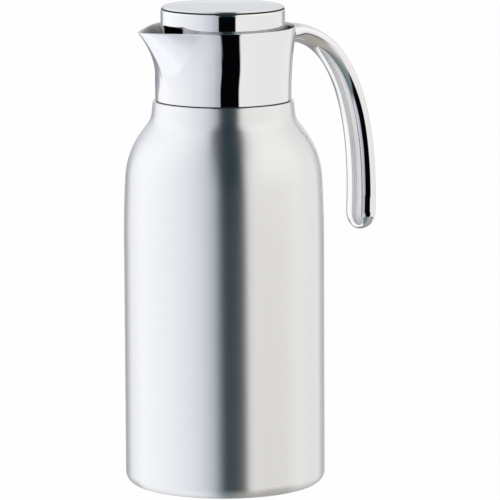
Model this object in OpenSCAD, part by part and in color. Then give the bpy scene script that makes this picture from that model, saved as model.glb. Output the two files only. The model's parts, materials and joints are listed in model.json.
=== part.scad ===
// Insulated pouring jug: double-walled steel flask, polished collar with a V spout,
// open arc handle, and a screw-in stopper that pours while its cap is pressed.
// Millimetres. +Z is up and the jug stands on z = 0. The spout points to -X, the handle to +X.

/* [Body shell] */
// Outside radius of the body
body_r = 60; // [56:0.5:64]
// Height of the shell's neck ring above the table
shell_h = 232; // [215:1:250]
// Thickness of the shell's steel
shell_wall = 1; // [0.8:0.1:1.4]
// Outside radius of the shell at its neck ring
shell_neck_r = 42.1; // [41.9:0.1:43]
// Height of the nearly straight neck
shell_neck_h = 7.6; // [5:0.1:10]
// Lean of the neck from upright, in degrees
shell_neck_lean = 6; // [1:0.5:9]
// Slope of the shoulder from upright, in degrees
shoulder_slope = 37; // [33:0.5:40]
// Radius of the hollow curve under the neck
throat_r = 12.5; // [9:0.5:15]
// Radius of the shoulder's round curve
shoulder_r = 50; // [42:0.5:52]
// Lean of the flank where the shoulder begins, in degrees
flank_lean = 3.3; // [2:0.1:4]
// Radius of the slow curve from the flank into the straight wall
flank_r = 640; // [400:10:700]
// Radius of the rounded foot edge
foot_edge_r = 7; // [5:0.5:9]
// Height of the shell's lowest edge above the table
shell_rise = 0.5; // [0.3:0.1:1.5]

/* [Inner flask] */
// Vacuum gap between shell and flask at the wall
vacuum_gap = 5; // [4:0.5:7]
// Thickness of the flask's steel
flask_wall = 0.8; // [0.6:0.1:1.2]
// Height of the flask's floor above the table
flask_floor = 14; // [13:0.5:20]
// Outside radius of the flask's neck
flask_neck_r = 34; // [33.8:0.1:34.4]
// Height of the flask's neck
flask_neck_h = 12; // [10:0.5:16]
// Slope of the flask's shoulder from upright, in degrees
flask_slope = 42; // [38:0.5:46]

/* [Foot] */
// Width of the shell's flat lip round the opening in its foot
foot_lip_w = 3; // [2.5:0.5:5]
// Width of the base cap's ring round the rubber pad
cover_ring_w = 4; // [4:0.5:8]
// Thickness of the rubber pad
pad_h = 2; // [1.6:0.1:3]
// Height of the dish that closes the vacuum space, above the table
dish_z = 9; // [8.6:0.1:9.4]
// Radius of the getter capsule
getter_r = 6; // [4:0.5:8]

/* [Collar] */
// Height of the collar from its foot to its rim
collar_h = 43.4; // [41:0.1:46]
// Outside radius at the collar's foot
collar_foot_r = 40.75; // [40.6:0.05:41.6]
// Outside radius at the rim
collar_rim_r = 44.1; // [43:0.1:45.5]
// How late the flare opens towards the rim
collar_flare = 2.1; // [1.4:0.1:2.6]
// Thickness of the collar's steel
collar_wall = 1.3; // [1:0.1:1.5]
// Distance of the spout's tip from the axis
spout_reach = 60.3; // [56:0.5:66]
// How late the spout grows out of the collar towards the rim
spout_curve = 2.12; // [1.6:0.02:2.6]
// Rounding of the spout's V, as an angle about the jug's axis
spout_round = 4; // [3:0.25:6]
// How much rounder the ridge is at the collar's foot than at its rim, in degrees
spout_soft = 25; // [10:1:35]
// Thickness of the collar's floor
collar_floor = 1.5; // [1.2:0.1:2]
// Radius of the hole in the collar's floor
collar_hole_r = 36.3; // [36.2:0.1:36.6]
// Thickness of the gaskets under the collar and under the insert
gasket_h = 0.8; // [0.6:0.1:1.2]

/* [Neck insert] */
// Bore of the insert, which the stopper passes
insert_bore_r = 31; // [30.8:0.1:31.4]
// Thickness of the insert's flange
insert_flange_h = 2; // [1.6:0.1:2.6]
// Depth of the insert's tube below the neck ring
insert_depth = 20; // [16:0.5:24]

/* [Handle] */
// Height of the stem's centre below the collar's rim
stem_drop = 6.9; // [6.6:0.1:8]
// Distance of the grip's centre line from the axis
grip_reach = 100.5; // [97:0.1:108]
// Tilt of the grip's lower end from upright, in degrees
grip_tilt = 2.6; // [0:0.1:5]
// Height of the grip's lower end above the table
grip_end_z = 145; // [130:0.5:160]
// Half height of the stem
stem_half_h = 5.6; // [5:0.1:6]
// Half width of the stem
stem_half_w = 8.6; // [8:0.1:9.5]
// Half depth of the grip's lower end, towards the body
grip_half_d = 7; // [6:0.1:9]
// Half width of the grip's lower end
grip_half_w = 11.4; // [9:0.1:13]
// Radius of the grip's round side, towards the body
grip_front_r = 12; // [10:0.5:14]
// Radius of the grip's two outer edges
grip_edge_r = 3.9; // [3:0.1:5]
// Radius of the grip's nearly flat back
grip_back_r = 30; // [20:1:60]
// Half the spacing of the handle's two screws
screw_half_gap = 4.4; // [4:0.1:4.6]
// Radius of the handle screws' shank
screw_r = 1.45; // [1.2:0.05:1.6]

/* [Stopper] */
// Outside radius of the plug, which carries the thread
plug_r = 29.2; // [28.6:0.1:29.4]
// Wall of the plug and of the drum
stopper_wall = 2.1; // [1.8:0.1:2.4]
// Depth of the plug below its flange
plug_depth = 35; // [32:0.5:38]
// Outside radius of the flange
flange_r = 36; // [35:0.1:36.2]
// Thickness of the flange
flange_h = 2.5; // [2:0.1:3]
// Thickness of the ring under the flange
stopper_seal_h = 2; // [1.6:0.1:2.4]
// Height of the valve seat ring below the plug
seat_ring_h = 4; // [3:0.5:6]
// Radius of the valve's opening
seat_r = 19; // [17:0.5:20]
// Width of the ribs that hold the stem guide
guide_rib_w = 2.6; // [2:0.1:4]
// Number of those ribs
guide_ribs = 3; // [3:1:5]
// Width of the keys that stop the cap turning in the stopper
key_w = 3.6; // [3:0.1:5]

/* [Press cap] */
// Outside radius of the cap
cap_r = 37.2; // [37:0.1:37.6]
// Height of the cap's top edge above the collar's rim
cap_stand = 11.8; // [10:0.1:13]
// Thickness of the cap's steel
cap_wall = 0.9; // [0.7:0.1:1.1]
// Radius of the cap's rounded top edge
cap_edge_r = 2.4; // [1.5:0.1:3]
// Rise of the cap's dome above its edge
cap_dome = 1; // [0.6:0.1:1.6]
// Height of the cap's skirt
cap_skirt_h = 40.5; // [38:0.5:41]
// Thickness of the black inner cap
liner_wall = 1.5; // [1.3:0.1:1.7]
// Half width of the pouring notch
notch_half_w = 10.25; // [8:0.25:12]
// Height of the notch's top above the collar's rim
notch_top = 1.6; // [0.5:0.1:3]
// Radius of the notch's upper corners
notch_corner_r = 1.6; // [1:0.1:2.5]
// Stroke of the cap when it is pressed
press_stroke = 4; // [3:0.5:4.5]
// Radius of the valve stem
stem_r = 3; // [2.6:0.1:3.4]
// Radius of the spring's wire
wire_r = 0.6; // [0.5:0.05:0.7]
// Number of the spring's turns
spring_turns = 7; // [5:1:9]

/* [Fits] */
// Running clearance of the stem in its guide
guide_clear = 0.05; // [0.02:0.01:0.1]
// Clearance between the cap's liner and the stopper's drum
slide_clear = 0.3; // [0.25:0.05:0.5]
// Clearance of threaded and pushed-in pieces of one body
seat_clear = 0.05; // [0.02:0.01:0.1]
// Clearance of a screw in its through holes
hole_clear = 0.25; // [0.15:0.05:0.4]

/* [Hidden] */
$fn = 96;

steel = "gainsboro";
satin = "silver";
black = "dimgray";

// Heights of what stands on the neck, from the shell's neck ring upwards
collar_z = shell_h + gasket_h;
rim_z = collar_z + collar_h;
insert_flange_z = collar_z + collar_floor + gasket_h;
seal_z = insert_flange_z + insert_flange_h;
flange_z = seal_z + stopper_seal_h;
drum_z = flange_z + flange_h;
plug_z = flange_z - plug_depth;
seat_z = plug_z - seat_ring_h;

// Heights in the press cap, from its top edge downwards
cap_top = rim_z + cap_stand;
cap_foot = cap_top - cap_skirt_h;
liner_top = cap_top - cap_wall;
liner_disc_z = liner_top - 5.4;
liner_foot = cap_foot + 1;
drum_top = liner_disc_z - press_stroke - 0.5;
notch_z = rim_z + notch_top;

// Radii of the foot's opening and of the pad in it
foot_open_r = body_r - foot_edge_r - foot_lip_w;
pad_r = foot_open_r - cover_ring_w;

// Radii of the sliding parts, from the cap inwards
cap_in_r = cap_r - cap_wall;
liner_r = cap_in_r - 2*seat_clear;
liner_in_r = liner_r - liner_wall;
drum_r = liner_in_r - slide_clear;
drum_in_r = drum_r - stopper_wall;
plug_in_r = plug_r - stopper_wall;

// The stem's guide, and the spring that stands on it
guide_r = stem_r + 3.5;
guide_h = 14;
guide_top = flange_z + 1;
boss_r = stem_r + 4;
spring_r = stem_r + 2.4;
spring_h = 31;
boss_foot = guide_top + spring_h;

// The valve, from the seat downwards
seal_h = 2;
disc_h = 2.5;
disc_r = seat_r + 4.5;
disc_z = seat_z - seal_h - disc_h;
stem_end_r = stem_r - 0.5;
stem_step_z = seat_z + 2;
nut_h = 3.4;
screw_depth = 10;

// The handle's stem and screws
stem_z = rim_z - stem_drop;
plate_face = collar_foot_r - collar_wall;
screw_head_r = 2.4;
screw_head_h = 1.4;
screw_len = 12.5;
insert_r = flask_neck_r - flask_wall - seat_clear;

// A unit vector at angle a, and n steps of an arc of radius r about c from angle a to angle b.
// A negative radius gives the hollow side.
function unit(a) = [cos(a), sin(a)];
function arc(c, r, a, b, n) = [for (i = [0:n]) c + r*unit(a + (b - a)*i/n)];
function reversed(list) = [for (i = [len(list) - 1:-1:0]) list[i]];
function tail(list) = [for (i = [1:len(list) - 1]) list[i]];

// The side of a bottle in (radius, height), from its neck down to its straight wall, moved
// inwards by inset: upright neck, hollow throat, straight slope, round shoulder, slow flank.
function bottle_side(wall_r, neck_r, top, neck_h, neck_lean, slope, throat, crown,
                     lean, flank, inset) =
    let (
        neck_foot = [neck_r + neck_h*tan(neck_lean), top - neck_h],
        throat_c = neck_foot + throat*unit(neck_lean),
        slope_top = throat_c - throat*unit(slope),
        flank_top_r = wall_r - flank*(1 - cos(lean)),
        slope_len = (flank_top_r - slope_top[0] - crown*(cos(lean) - cos(slope)))/sin(slope),
        slope_foot = slope_top + slope_len*[sin(slope), -cos(slope)],
        crown_c = slope_foot - crown*unit(slope),
        flank_c = crown_c + (crown - flank)*unit(lean)
    )
    concat(
        arc(throat_c, -throat - inset, neck_lean, slope, 8),
        arc(crown_c, crown - inset, slope, lean, 16),
        tail(arc(flank_c, flank - inset, lean, 0, 5))
    );

function shell_side(inset) =
    bottle_side(body_r, shell_neck_r, shell_h, shell_neck_h, shell_neck_lean,
                shoulder_slope, throat_r, shoulder_r, flank_lean, flank_r, inset);

// Brushed outer wall: foot lip, rounded foot edge, wall, shoulder, neck and neck ring.
module outer_shell() {
    foot_c = [body_r - foot_edge_r, shell_rise + foot_edge_r];
    lip_z = shell_rise + shell_wall;
    neck_in_r = shell_neck_r - shell_wall/cos(shell_neck_lean) + shell_wall*tan(shell_neck_lean);
    outside = concat(
        [[flask_neck_r, shell_h], [shell_neck_r, shell_h]],
        shell_side(0),
        arc(foot_c, foot_edge_r, 0, -90, 8),
        [[foot_open_r, shell_rise], [foot_open_r, lip_z]]
    );
    inside = concat(
        arc(foot_c, foot_edge_r - shell_wall, -90, 0, 8),
        reversed(shell_side(shell_wall)),
        [[neck_in_r, shell_h - shell_wall], [flask_neck_r, shell_h - shell_wall]]
    );
    color(satin) rotate_extrude() polygon(concat(outside, inside));
}

// Inner wall: neck, shoulder, wall and rounded floor.
module inner_flask() {
    wall_r = body_r - shell_wall - vacuum_gap;
    floor_edge_r = 14;
    floor_c = [wall_r - floor_edge_r, flask_floor + floor_edge_r];
    hollow_r = 8;
    crown_r = 40;
    lean = 3;
    slow_r = 300;
    side = function (inset)
        bottle_side(wall_r, flask_neck_r, shell_h, flask_neck_h, 0,
                    flask_slope, hollow_r, crown_r, lean, slow_r, inset);
    outside = concat(
        [[flask_neck_r, shell_h]], side(0),
        arc(floor_c, floor_edge_r, 0, -90, 8), [[0, flask_floor]]
    );
    inside = concat(
        [[0, flask_floor + flask_wall]], arc(floor_c, floor_edge_r - flask_wall, -90, 0, 8),
        reversed(side(flask_wall)), [[flask_neck_r - flask_wall, shell_h]]
    );
    color(steel) rotate_extrude() polygon(concat(outside, inside));
}

// Dish welded into the shell's foot. Its turned-down edge lies on the shell's wall.
module vacuum_base() {
    dish_r = body_r - shell_wall;
    edge_h = 1;
    color(steel) rotate_extrude() polygon([
        [0, dish_z], [dish_r - shell_wall, dish_z], [dish_r - shell_wall, dish_z - edge_h],
        [dish_r, dish_z - edge_h], [dish_r, dish_z + shell_wall], [0, dish_z + shell_wall]
    ]);
}

// Capsule on the dish, off centre, under the flask's floor.
module getter() {
    capsule_h = flask_floor - dish_z - shell_wall - 1.2;
    color(steel) translate([body_r/2, 0, dish_z + shell_wall])
        cylinder(r = getter_r, h = capsule_h);
}

// Plastic cover behind the shell's foot lip, with a step down to the table for the pad.
module base_cap() {
    lip_z = shell_rise + shell_wall;
    cover_z = shell_rise + 0.4;
    hook_r = foot_open_r + 3;
    color(black) rotate_extrude() polygon([
        [0, pad_h], [pad_r + seat_clear, pad_h], [pad_r + seat_clear, cover_z],
        [foot_open_r - seat_clear, cover_z], [foot_open_r - seat_clear, lip_z],
        [hook_r, lip_z], [hook_r - 0.6, lip_z + 1.4], [foot_open_r - 2, pad_h + 1.6],
        [0, pad_h + 1.6]
    ]);
}

// Rubber pad, let into the cover. The jug stands on it.
module base_pad() {
    edge = 0.5;
    color("darkslategray") rotate_extrude() polygon([
        [0, 0], [pad_r - edge, 0], [pad_r, edge], [pad_r, pad_h], [0, pad_h]
    ]);
}

// A flat ring of height h between two radii, standing on z.
module ring(inner, outer, z, h) {
    translate([0, 0, z]) difference() {
        cylinder(r = outer, h = h);
        translate([0, 0, -1]) cylinder(r = inner, h = h + 2);
    }
}

module collar_gasket() {
    color(black) ring(collar_hole_r, collar_foot_r - 0.4, shell_h, gasket_h);
}

module insert_gasket() {
    color(black) ring(collar_hole_r, collar_foot_r - collar_wall - 0.8,
                      collar_z + collar_floor, gasket_h);
}

// How far up the collar a height lies, from 0 at its foot to 1 at its rim.
function rise(z) = (z - collar_z)/collar_h;

// Outside radius of the collar away from the spout, at a height.
function collar_r(z) = collar_foot_r + (collar_rim_r - collar_foot_r)*pow(rise(z), collar_flare);

// Distance of the spout's ridge from the axis, at a height.
function ridge(z) = collar_r(z) + (spout_reach - collar_rim_r)*pow(rise(z), spout_curve);

// The collar in plan: a circle, and two flanks that leave it softly and meet at the spout's
// ridge. turn is the angle from the spout. The ridge is round over an angle that grows
// towards the collar's foot; inset moves the whole outline inwards by a wall.
function outline(z, turn, inset) =
    let (
        flank = acos(collar_r(z)/ridge(z)),
        tip = spout_round + spout_soft*(1 - rise(z)),
        a = sqrt(turn*turn + tip*tip),
        share = flank < 0.05 ? -9 : (tip + flank - a)/flank,
        lean = flank*ln(1 + exp(min(4*share, 60)))/ln(1 + exp(4))
    )
    (collar_r(z) - inset)/cos(lean);

// Heights of the collar's rings, closer together towards the rim.
function collar_levels(from, n) = [for (i = [0:n]) from + (rim_z - from)*pow(i/n, 0.8)];

// Steps round the collar: fine across the spout, even round the rest.
spout_span = 66;
spout_steps = [for (i = [0:15]) spout_span*pow(i/15, 1.25)];
back_steps = [for (i = [1:19]) spout_span + (180 - spout_span)*i/20];
half_turn = concat(spout_steps, back_steps);
collar_steps = concat(half_turn, [180], [for (i = [len(half_turn) - 1:-1:1]) -half_turn[i]]);

// A closed skin over a grid of points: rows join the next row, and both ways close up.
module closed_skin(rows) {
    m = len(rows);
    n = len(rows[0]);
    points = [for (row = rows) for (p = row) p];
    faces = [for (i = [0:m - 1]) for (j = [0:n - 1])
        let (a = i*n + j, b = i*n + (j + 1)%n, c = ((i + 1)%m)*n + (j + 1)%n, d = ((i + 1)%m)*n + j)
        each [[a, b, c], [a, c, d]]];
    polyhedron(points, faces, convexity = 6);
}

// Polished collar: a flared tube whose wall is drawn out into the spout, with a floor that
// turns inwards onto the neck and two holes at the back for the handle's screws.
module collar() {
    floor_top = collar_z + collar_floor;
    levels = collar_levels(collar_z, 11);
    inner_levels = collar_levels(floor_top, 9);
    rows = [for (turn = collar_steps)
        let (
            outside = [for (z = levels) [outline(z, turn, 0), z]],
            inside = [for (z = reversed(inner_levels)) [outline(z, turn, collar_wall), z]],
            hole = [[collar_hole_r, floor_top], [collar_hole_r, collar_z]]
        )
        [for (p = concat(outside, inside, hole)) [-p[0]*cos(turn), -p[0]*sin(turn), p[1]]]
    ];
    color(steel) difference() {
        closed_skin(rows);
        screw_holes(screw_r + hole_clear, collar_rim_r + 2);
    }
}

// Black insert: a tube in the flask's neck, a step in the collar's floor and a flange over it.
module neck_insert() {
    tube_z = shell_h - insert_depth;
    step_r = collar_hole_r - 2*hole_clear;
    flange_out_r = collar_foot_r - collar_wall - 0.6;
    lead_in = 1;
    color(black) rotate_extrude() polygon([
        [insert_bore_r, tube_z + lead_in], [insert_bore_r + lead_in, tube_z], [insert_r, tube_z],
        [insert_r, shell_h], [step_r, shell_h], [step_r, insert_flange_z],
        [flange_out_r, insert_flange_z], [flange_out_r, seal_z],
        [insert_bore_r + lead_in, seal_z], [insert_bore_r, seal_z - lead_in]
    ]);
}

// The two screws' shafts or holes, from inside the collar to a distance from the axis.
module screw_holes(r, reach) {
    for (side = [-1, 1])
        translate([plate_face, side*screw_half_gap, stem_z]) rotate([0, 90, 0])
            cylinder(r = r, h = reach - plate_face, $fn = 32);
}

// Point, and direction, on a cubic curve with four control points.
function curve(p, t) = pow(1 - t, 3)*p[0] + 3*pow(1 - t, 2)*t*p[1]
    + 3*(1 - t)*t*t*p[2] + pow(t, 3)*p[3];
function heading(p, t) = let (d = pow(1 - t, 2)*(p[1] - p[0]) + 2*(1 - t)*t*(p[2] - p[1])
    + t*t*(p[3] - p[2])) d/norm(d);

// The handle's centre line in (distance, height): level out of the collar, round, and down.
grip_round = grip_half_d + 4.1;
grip_level = 0.654*(grip_reach - collar_rim_r);
grip_low = [grip_reach, grip_end_z + grip_round];
grip_drop = 0.636*(stem_z - grip_low[1]);
grip_path = [
    [collar_rim_r + 1.9, stem_z], [collar_rim_r + grip_level, stem_z],
    grip_low + [grip_drop*tan(grip_tilt), grip_drop], grip_low
];

// The handle's section as a closed list of (out, side), scaled to half sizes of 1: a round
// front towards the body, a tight edge, a nearly flat back, and the same again mirrored.
function grip_section() =
    let (
        front = 68.2,
        edge_side = (grip_front_r - grip_edge_r)*sin(front),
        edge_out = -(grip_front_r - grip_edge_r)*cos(front),
        back = asin(edge_side/(grip_back_r - grip_edge_r)),
        back_out = edge_out - (grip_back_r - grip_edge_r)*cos(back),
        half = concat(
            arc([0, 0], grip_front_r, 180, 180 - front, 6),
            tail(arc([edge_out, edge_side], grip_edge_r, 180 - front, back, 6)),
            tail(arc([back_out, 0], grip_back_r, back, 0, 2))
        ),
        ring = concat(half, [for (i = [len(half) - 2:-1:1]) [half[i][0], -half[i][1]]]),
        top = back_out + grip_back_r,
        size = [(top + grip_front_r)/2, edge_side + grip_edge_r]
    )
    reversed([for (p = ring) [(p[0] - top)/size[0] + 1, p[1]/size[1]]]);

// A point of the section, moved towards the unit circle as share goes from 1 to 0.
function eased(p, share) = p*(share + (1 - share)/norm(p));

// One ring of the handle: half depth d across the path and half width w.
function grip_ring(c, along, d, w, section) =
    [for (p = section) [c[0] - along[1]*d*p[0], w*p[1], c[1] + along[0]*d*p[0]]];

// The same section laid on the collar's outside, so that the stem's end fits the collar.
function saddle_ring(share, section) =
    [for (p = section) let (
        y = stem_half_w*share*p[1], z = stem_z + stem_half_h*share*p[0],
        x = sqrt(pow(collar_r(z) + seat_clear, 2) - y*y))
        [x, y, z]];

// Polished handle: one bar swept along its path, wider towards its rounded lower end, with
// a hollow end that sits on the collar and two blind holes for the screws.
module handle() {
    section = grip_section();
    n = len(section);
    steps = 30;
    swell = 0.7;
    round_stem = [for (p = section) eased(p, 0)];
    stem_share = 0.1;
    body = [for (i = [0:steps]) let (t = i/steps, s = pow(t, swell), e = min(1, t/stem_share))
        grip_ring(curve(grip_path, t), heading(grip_path, t),
                  stem_half_h + (grip_half_d - stem_half_h)*s,
                  stem_half_w + (grip_half_w - stem_half_w)*s,
                  [for (p = section) eased(p, e*e*(3 - 2*e))])];
    foot = curve(grip_path, 1);
    down = heading(grip_path, 1);
    end = [for (i = [1:6]) let (a = 90*i/6.4)
        grip_ring(foot + grip_round*sin(a)*down, down, grip_half_d*cos(a), grip_half_w*cos(a),
                  section)];
    rings = concat([for (share = [0.34, 0.67, 1]) saddle_ring(share, round_stem)], body, end);
    last = len(rings)*n;
    points = concat(
        [for (ring = rings) for (p = ring) p],
        [[collar_r(stem_z) + seat_clear, 0, stem_z],
         [foot[0] + down[0]*grip_round, 0, foot[1] + down[1]*grip_round]]
    );
    sides = [for (i = [0:len(rings) - 2]) for (j = [0:n - 1])
        let (a = i*n + j, b = i*n + (j + 1)%n, c = b + n, d = a + n)
        each [[a, b, c], [a, c, d]]];
    root = [for (j = [0:n - 1]) [last, (j + 1)%n, j]];
    tip = [for (j = [0:n - 1]) [last + 1, last - n + j, last - n + (j + 1)%n]];
    color(steel) difference() {
        polyhedron(points, concat(sides, root, tip), convexity = 6);
        screw_holes(screw_r + seat_clear, plate_face + screw_len + 1);
    }
}

// Plate inside the collar: curved to the wall outside, flat under the screw heads.
module handle_backplate() {
    half_w = stem_half_w;
    half_h = stem_half_h - 0.4;
    low = stem_z - half_h;
    high = stem_z + half_h;
    wall = function (z) collar_r(z) - collar_wall - 2*seat_clear;
    color(steel) difference() {
        intersection() {
            rotate_extrude() polygon([
                [1, low], [wall(low), low], [wall(stem_z), stem_z], [wall(high), high], [1, high]
            ]);
            translate([plate_face, -half_w, low - 1]) cube([10, 2*half_w, 2*half_h + 2]);
        }
        screw_holes(screw_r + hole_clear, collar_rim_r);
    }
}

// Two pan-head screws with a cross slot.
module handle_screws() {
    slot = 0.7;
    color(steel) for (side = [-1, 1])
        translate([plate_face, side*screw_half_gap, stem_z]) rotate([0, 90, 0]) difference() {
            union() {
                cylinder(r = screw_r, h = screw_len, $fn = 32);
                translate([0, 0, -screw_head_h]) cylinder(r = screw_head_r, h = screw_head_h, $fn = 32);
            }
            for (a = [0, 90]) rotate([0, 0, a])
                translate([-screw_head_r*0.6, -slot/2, -screw_head_h - 0.1])
                    cube([screw_head_r*1.2, slot, 0.9]);
        }
}

// Silicone ring between the stopper's flange and the insert, free on the plug.
module stopper_seal() {
    color("darkgray") ring(plug_r + slide_clear, flange_r - 0.7, seal_z, stopper_seal_h);
}

// A rounded opening through the walls on the spout's side, for the cap's notch.
module notch(half_w, top, from_r, to_r) {
    r = notch_corner_r;
    foot = cap_foot - 5;
    translate([-to_r, 0, 0]) rotate([90, 0, 90]) linear_extrude(to_r - from_r) union() {
        translate([-half_w, foot]) square([2*half_w, top - r - foot]);
        translate([-half_w + r, foot]) square([2*(half_w - r), top - foot]);
        for (side = [-1, 1]) translate([side*(half_w - r), top - r]) circle(r, $fn = 32);
    }
}

// Black stopper: threaded plug, flange, and the drum that guides the cap. A spider inside
// the plug holds the stem's guide, and the drum has the pouring window and two key slots.
module stopper_body() {
    window_half_w = notch_half_w + 1.5;
    window_z = drum_z + 1;
    slot_w = key_w + 2*slide_clear;
    slot_z = drum_top - 12 - press_stroke;
    guide_z = guide_top - guide_h;
    color(black) difference() {
        union() {
            rotate_extrude() polygon([
                [plug_in_r, plug_z], [plug_r, plug_z], [plug_r, flange_z], [flange_r, flange_z],
                [flange_r, drum_z - 0.6], [flange_r - 0.6, drum_z], [drum_r, drum_z],
                [drum_r, drum_top - 0.6], [drum_r - 0.6, drum_top], [drum_in_r, drum_top],
                [drum_in_r, drum_z], [plug_in_r, flange_z]
            ]);
            translate([0, 0, guide_z]) cylinder(r = guide_r, h = guide_h);
            for (i = [0:guide_ribs - 1]) rotate([0, 0, 360*i/guide_ribs])
                translate([0, -guide_rib_w/2, guide_z]) cube([plug_in_r + 1, guide_rib_w, guide_h - 5]);
        }
        translate([0, 0, guide_z - 1]) cylinder(r = stem_r + guide_clear, h = guide_h + 2);
        translate([-drum_r - 1, -window_half_w, window_z])
            cube([drum_r - drum_in_r + 6, 2*window_half_w, notch_z - window_z - 1]);
        for (side = [-1, 1])
            translate([-slot_w/2, side > 0 ? drum_in_r - 3 : -drum_r - 3, slot_z])
                cube([slot_w, drum_r - drum_in_r + 6, drum_top]);
    }
}

// Ring under the plug. Its spigot goes up into the plug, and its flat underside is the seat.
module stopper_base() {
    spigot_r = plug_in_r - seat_clear;
    spigot_h = 4;
    color(black) rotate_extrude() polygon([
        [seat_r, seat_z], [plug_r - 0.8, seat_z], [plug_r, seat_z + 0.8], [plug_r, plug_z],
        [spigot_r, plug_z], [spigot_r, plug_z + spigot_h],
        [spigot_r - 1, plug_z + spigot_h], [seat_r, seat_z + 1.6]
    ]);
}

// Polished cap: a drum with a rounded top edge, a slight dome and the pouring notch.
module top_cap() {
    edge_c = [cap_r - cap_edge_r, cap_top - cap_edge_r];
    in_edge = cap_edge_r - cap_wall;
    dome = function (drop) [for (i = [1:6]) let (r = (cap_r - cap_edge_r)*(1 - i/6))
        [r, cap_top - drop + cap_dome*(1 - pow(r/(cap_r - cap_edge_r), 2))]];
    outside = concat([[cap_r, cap_foot]], arc(edge_c, cap_edge_r, 0, 90, 8), dome(0));
    inside = concat([[cap_in_r, cap_foot]], arc(edge_c, in_edge, 0, 90, 6), dome(cap_wall));
    color(steel) difference() {
        rotate_extrude() polygon(concat(outside, reversed(inside)));
        notch(notch_half_w, notch_z, cap_in_r - 8, cap_r + 1);
    }
}

// Black inner cap: skirt, disc with a ring that carries the cap's top, the stem's boss, and
// two keys that run in the drum's slots.
module cap_liner() {
    disc_h = 2;
    pad_in_r = liner_r - 8;
    pad_out_r = liner_r - 3;
    pad_top = liner_top - 0.05;
    key_h = 10;
    color(black) difference() {
        union() {
            rotate_extrude() polygon([
                [stem_r + seat_clear, boss_foot], [boss_r, boss_foot], [boss_r, liner_disc_z],
                [liner_in_r, liner_disc_z], [liner_in_r, liner_foot], [liner_r, liner_foot],
                [liner_r, liner_disc_z + disc_h - 0.6], [liner_r - 0.6, liner_disc_z + disc_h],
                [pad_out_r, liner_disc_z + disc_h], [pad_out_r, pad_top], [pad_in_r, pad_top],
                [pad_in_r, liner_disc_z + disc_h], [stem_r + seat_clear, liner_disc_z + disc_h]
            ]);
            for (side = [-1, 1])
                translate([-key_w/2, side > 0 ? drum_in_r + 0.3 : -liner_in_r - 0.4, drum_top - key_h])
                    cube([key_w, liner_in_r - drum_in_r + 0.1, key_h]);
        }
        notch(notch_half_w + 0.4, notch_z + 0.4, liner_in_r - 8, liner_r + 1);
    }
}

// Screw through a washer face into the stem's top.
module cap_screw() {
    head_z = liner_disc_z + 2;
    shank_r = 1.6;
    color(steel) difference() {
        union() {
            translate([0, 0, head_z - screw_depth]) cylinder(r = shank_r, h = screw_depth, $fn = 32);
            translate([0, 0, head_z]) cylinder(r = stem_r + 2.6, h = 1.2);
            translate([0, 0, head_z + 1.2]) cylinder(r = stem_r + 0.6, h = 1.4);
        }
        for (a = [0, 90]) rotate([0, 0, a])
            translate([-2, -0.4, head_z + 1.6]) cube([4, 0.8, 2]);
    }
}

// Steel stem: runs in the guide, steps down through the valve disc, and takes the cap's
// screw in its upper end.
module valve_stem() {
    top = liner_disc_z + 2;
    low = disc_z - nut_h - 1;
    color(steel) difference() {
        union() {
            translate([0, 0, low]) cylinder(r = stem_end_r, h = stem_step_z - low);
            translate([0, 0, stem_step_z]) cylinder(r = stem_r, h = top - stem_step_z);
            translate([0, 0, stem_step_z]) cylinder(r = stem_r + 1.6, h = 1);
        }
        translate([0, 0, top - screw_depth - 1]) cylinder(r = 1.6 + seat_clear, h = screw_depth + 2, $fn = 32);
    }
}

// Ring on the stem under the boss of the liner.
module stem_seal() {
    color("darkgray") ring(stem_r + guide_clear, stem_r + 1.4, boss_foot - 2.4, 2.4);
}

// Coil spring round the stem, from the guide to the liner's boss, with closed flat ends.
module return_spring() {
    sides = 8;
    per_turn = 20;
    steps = spring_turns*per_turn;
    low = guide_top + wire_r;
    lift = spring_h - 2*wire_r;
    close = 0.75;
    climb = function (turn)
        let (
            open = spring_turns - 2*close,
            dead = 2*wire_r*close,
            pitch = (lift - 2*dead)/open
        )
        turn < close ? 2*wire_r*turn
        : turn > spring_turns - close ? lift - 2*wire_r*(spring_turns - turn)
        : dead + pitch*(turn - close);
    rings = [for (i = [0:steps]) let (a = 360*i/per_turn, z = low + climb(i/per_turn))
        [for (j = [0:sides - 1]) let (b = 360*j/sides, r = spring_r + wire_r*cos(b))
            [r*cos(a), r*sin(a), z + wire_r*sin(b)]]];
    points = [for (ring = rings) for (p = ring) p];
    walls = [for (i = [0:steps - 1]) for (j = [0:sides - 1])
        let (a = i*sides + j, b = i*sides + (j + 1)%sides)
        each [[a, b, b + sides], [a, b + sides, a + sides]]];
    start = [[for (j = [sides - 1:-1:0]) j]];
    finish = [[for (j = [0:sides - 1]) steps*sides + j]];
    color(steel) polyhedron(points, concat(walls, start, finish), convexity = 10);
}

// Valve disc, pulled up to the seat by the stem, with a hub and a lip that keep its seal.
module valve_disc() {
    hub_r = stem_r + 4;
    lip_r = seat_r - 1.5;
    bore = stem_end_r + seat_clear;
    color(black) rotate_extrude() polygon([
        [bore, disc_z], [disc_r - 1, disc_z], [disc_r, disc_z + 1], [disc_r, disc_z + disc_h],
        [lip_r, disc_z + disc_h], [lip_r, seat_z - 0.6], [lip_r - 1.5, seat_z - 0.6],
        [lip_r - 1.5, disc_z + disc_h], [hub_r, disc_z + disc_h],
        [hub_r - 1, stem_step_z], [bore, stem_step_z]
    ]);
}

// Silicone ring on the disc, which closes against the seat.
module valve_seal() {
    color("darkgray") ring(seat_r - 1.5, disc_r - 0.5, disc_z + disc_h, seal_h);
}

// Hexagon nut under the disc.
module valve_nut() {
    color(steel) translate([0, 0, disc_z - nut_h]) difference() {
        cylinder(r = stem_r + 1.7, h = nut_h, $fn = 6);
        translate([0, 0, -1]) cylinder(r = stem_end_r + guide_clear, h = nut_h + 2);
    }
}

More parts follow.
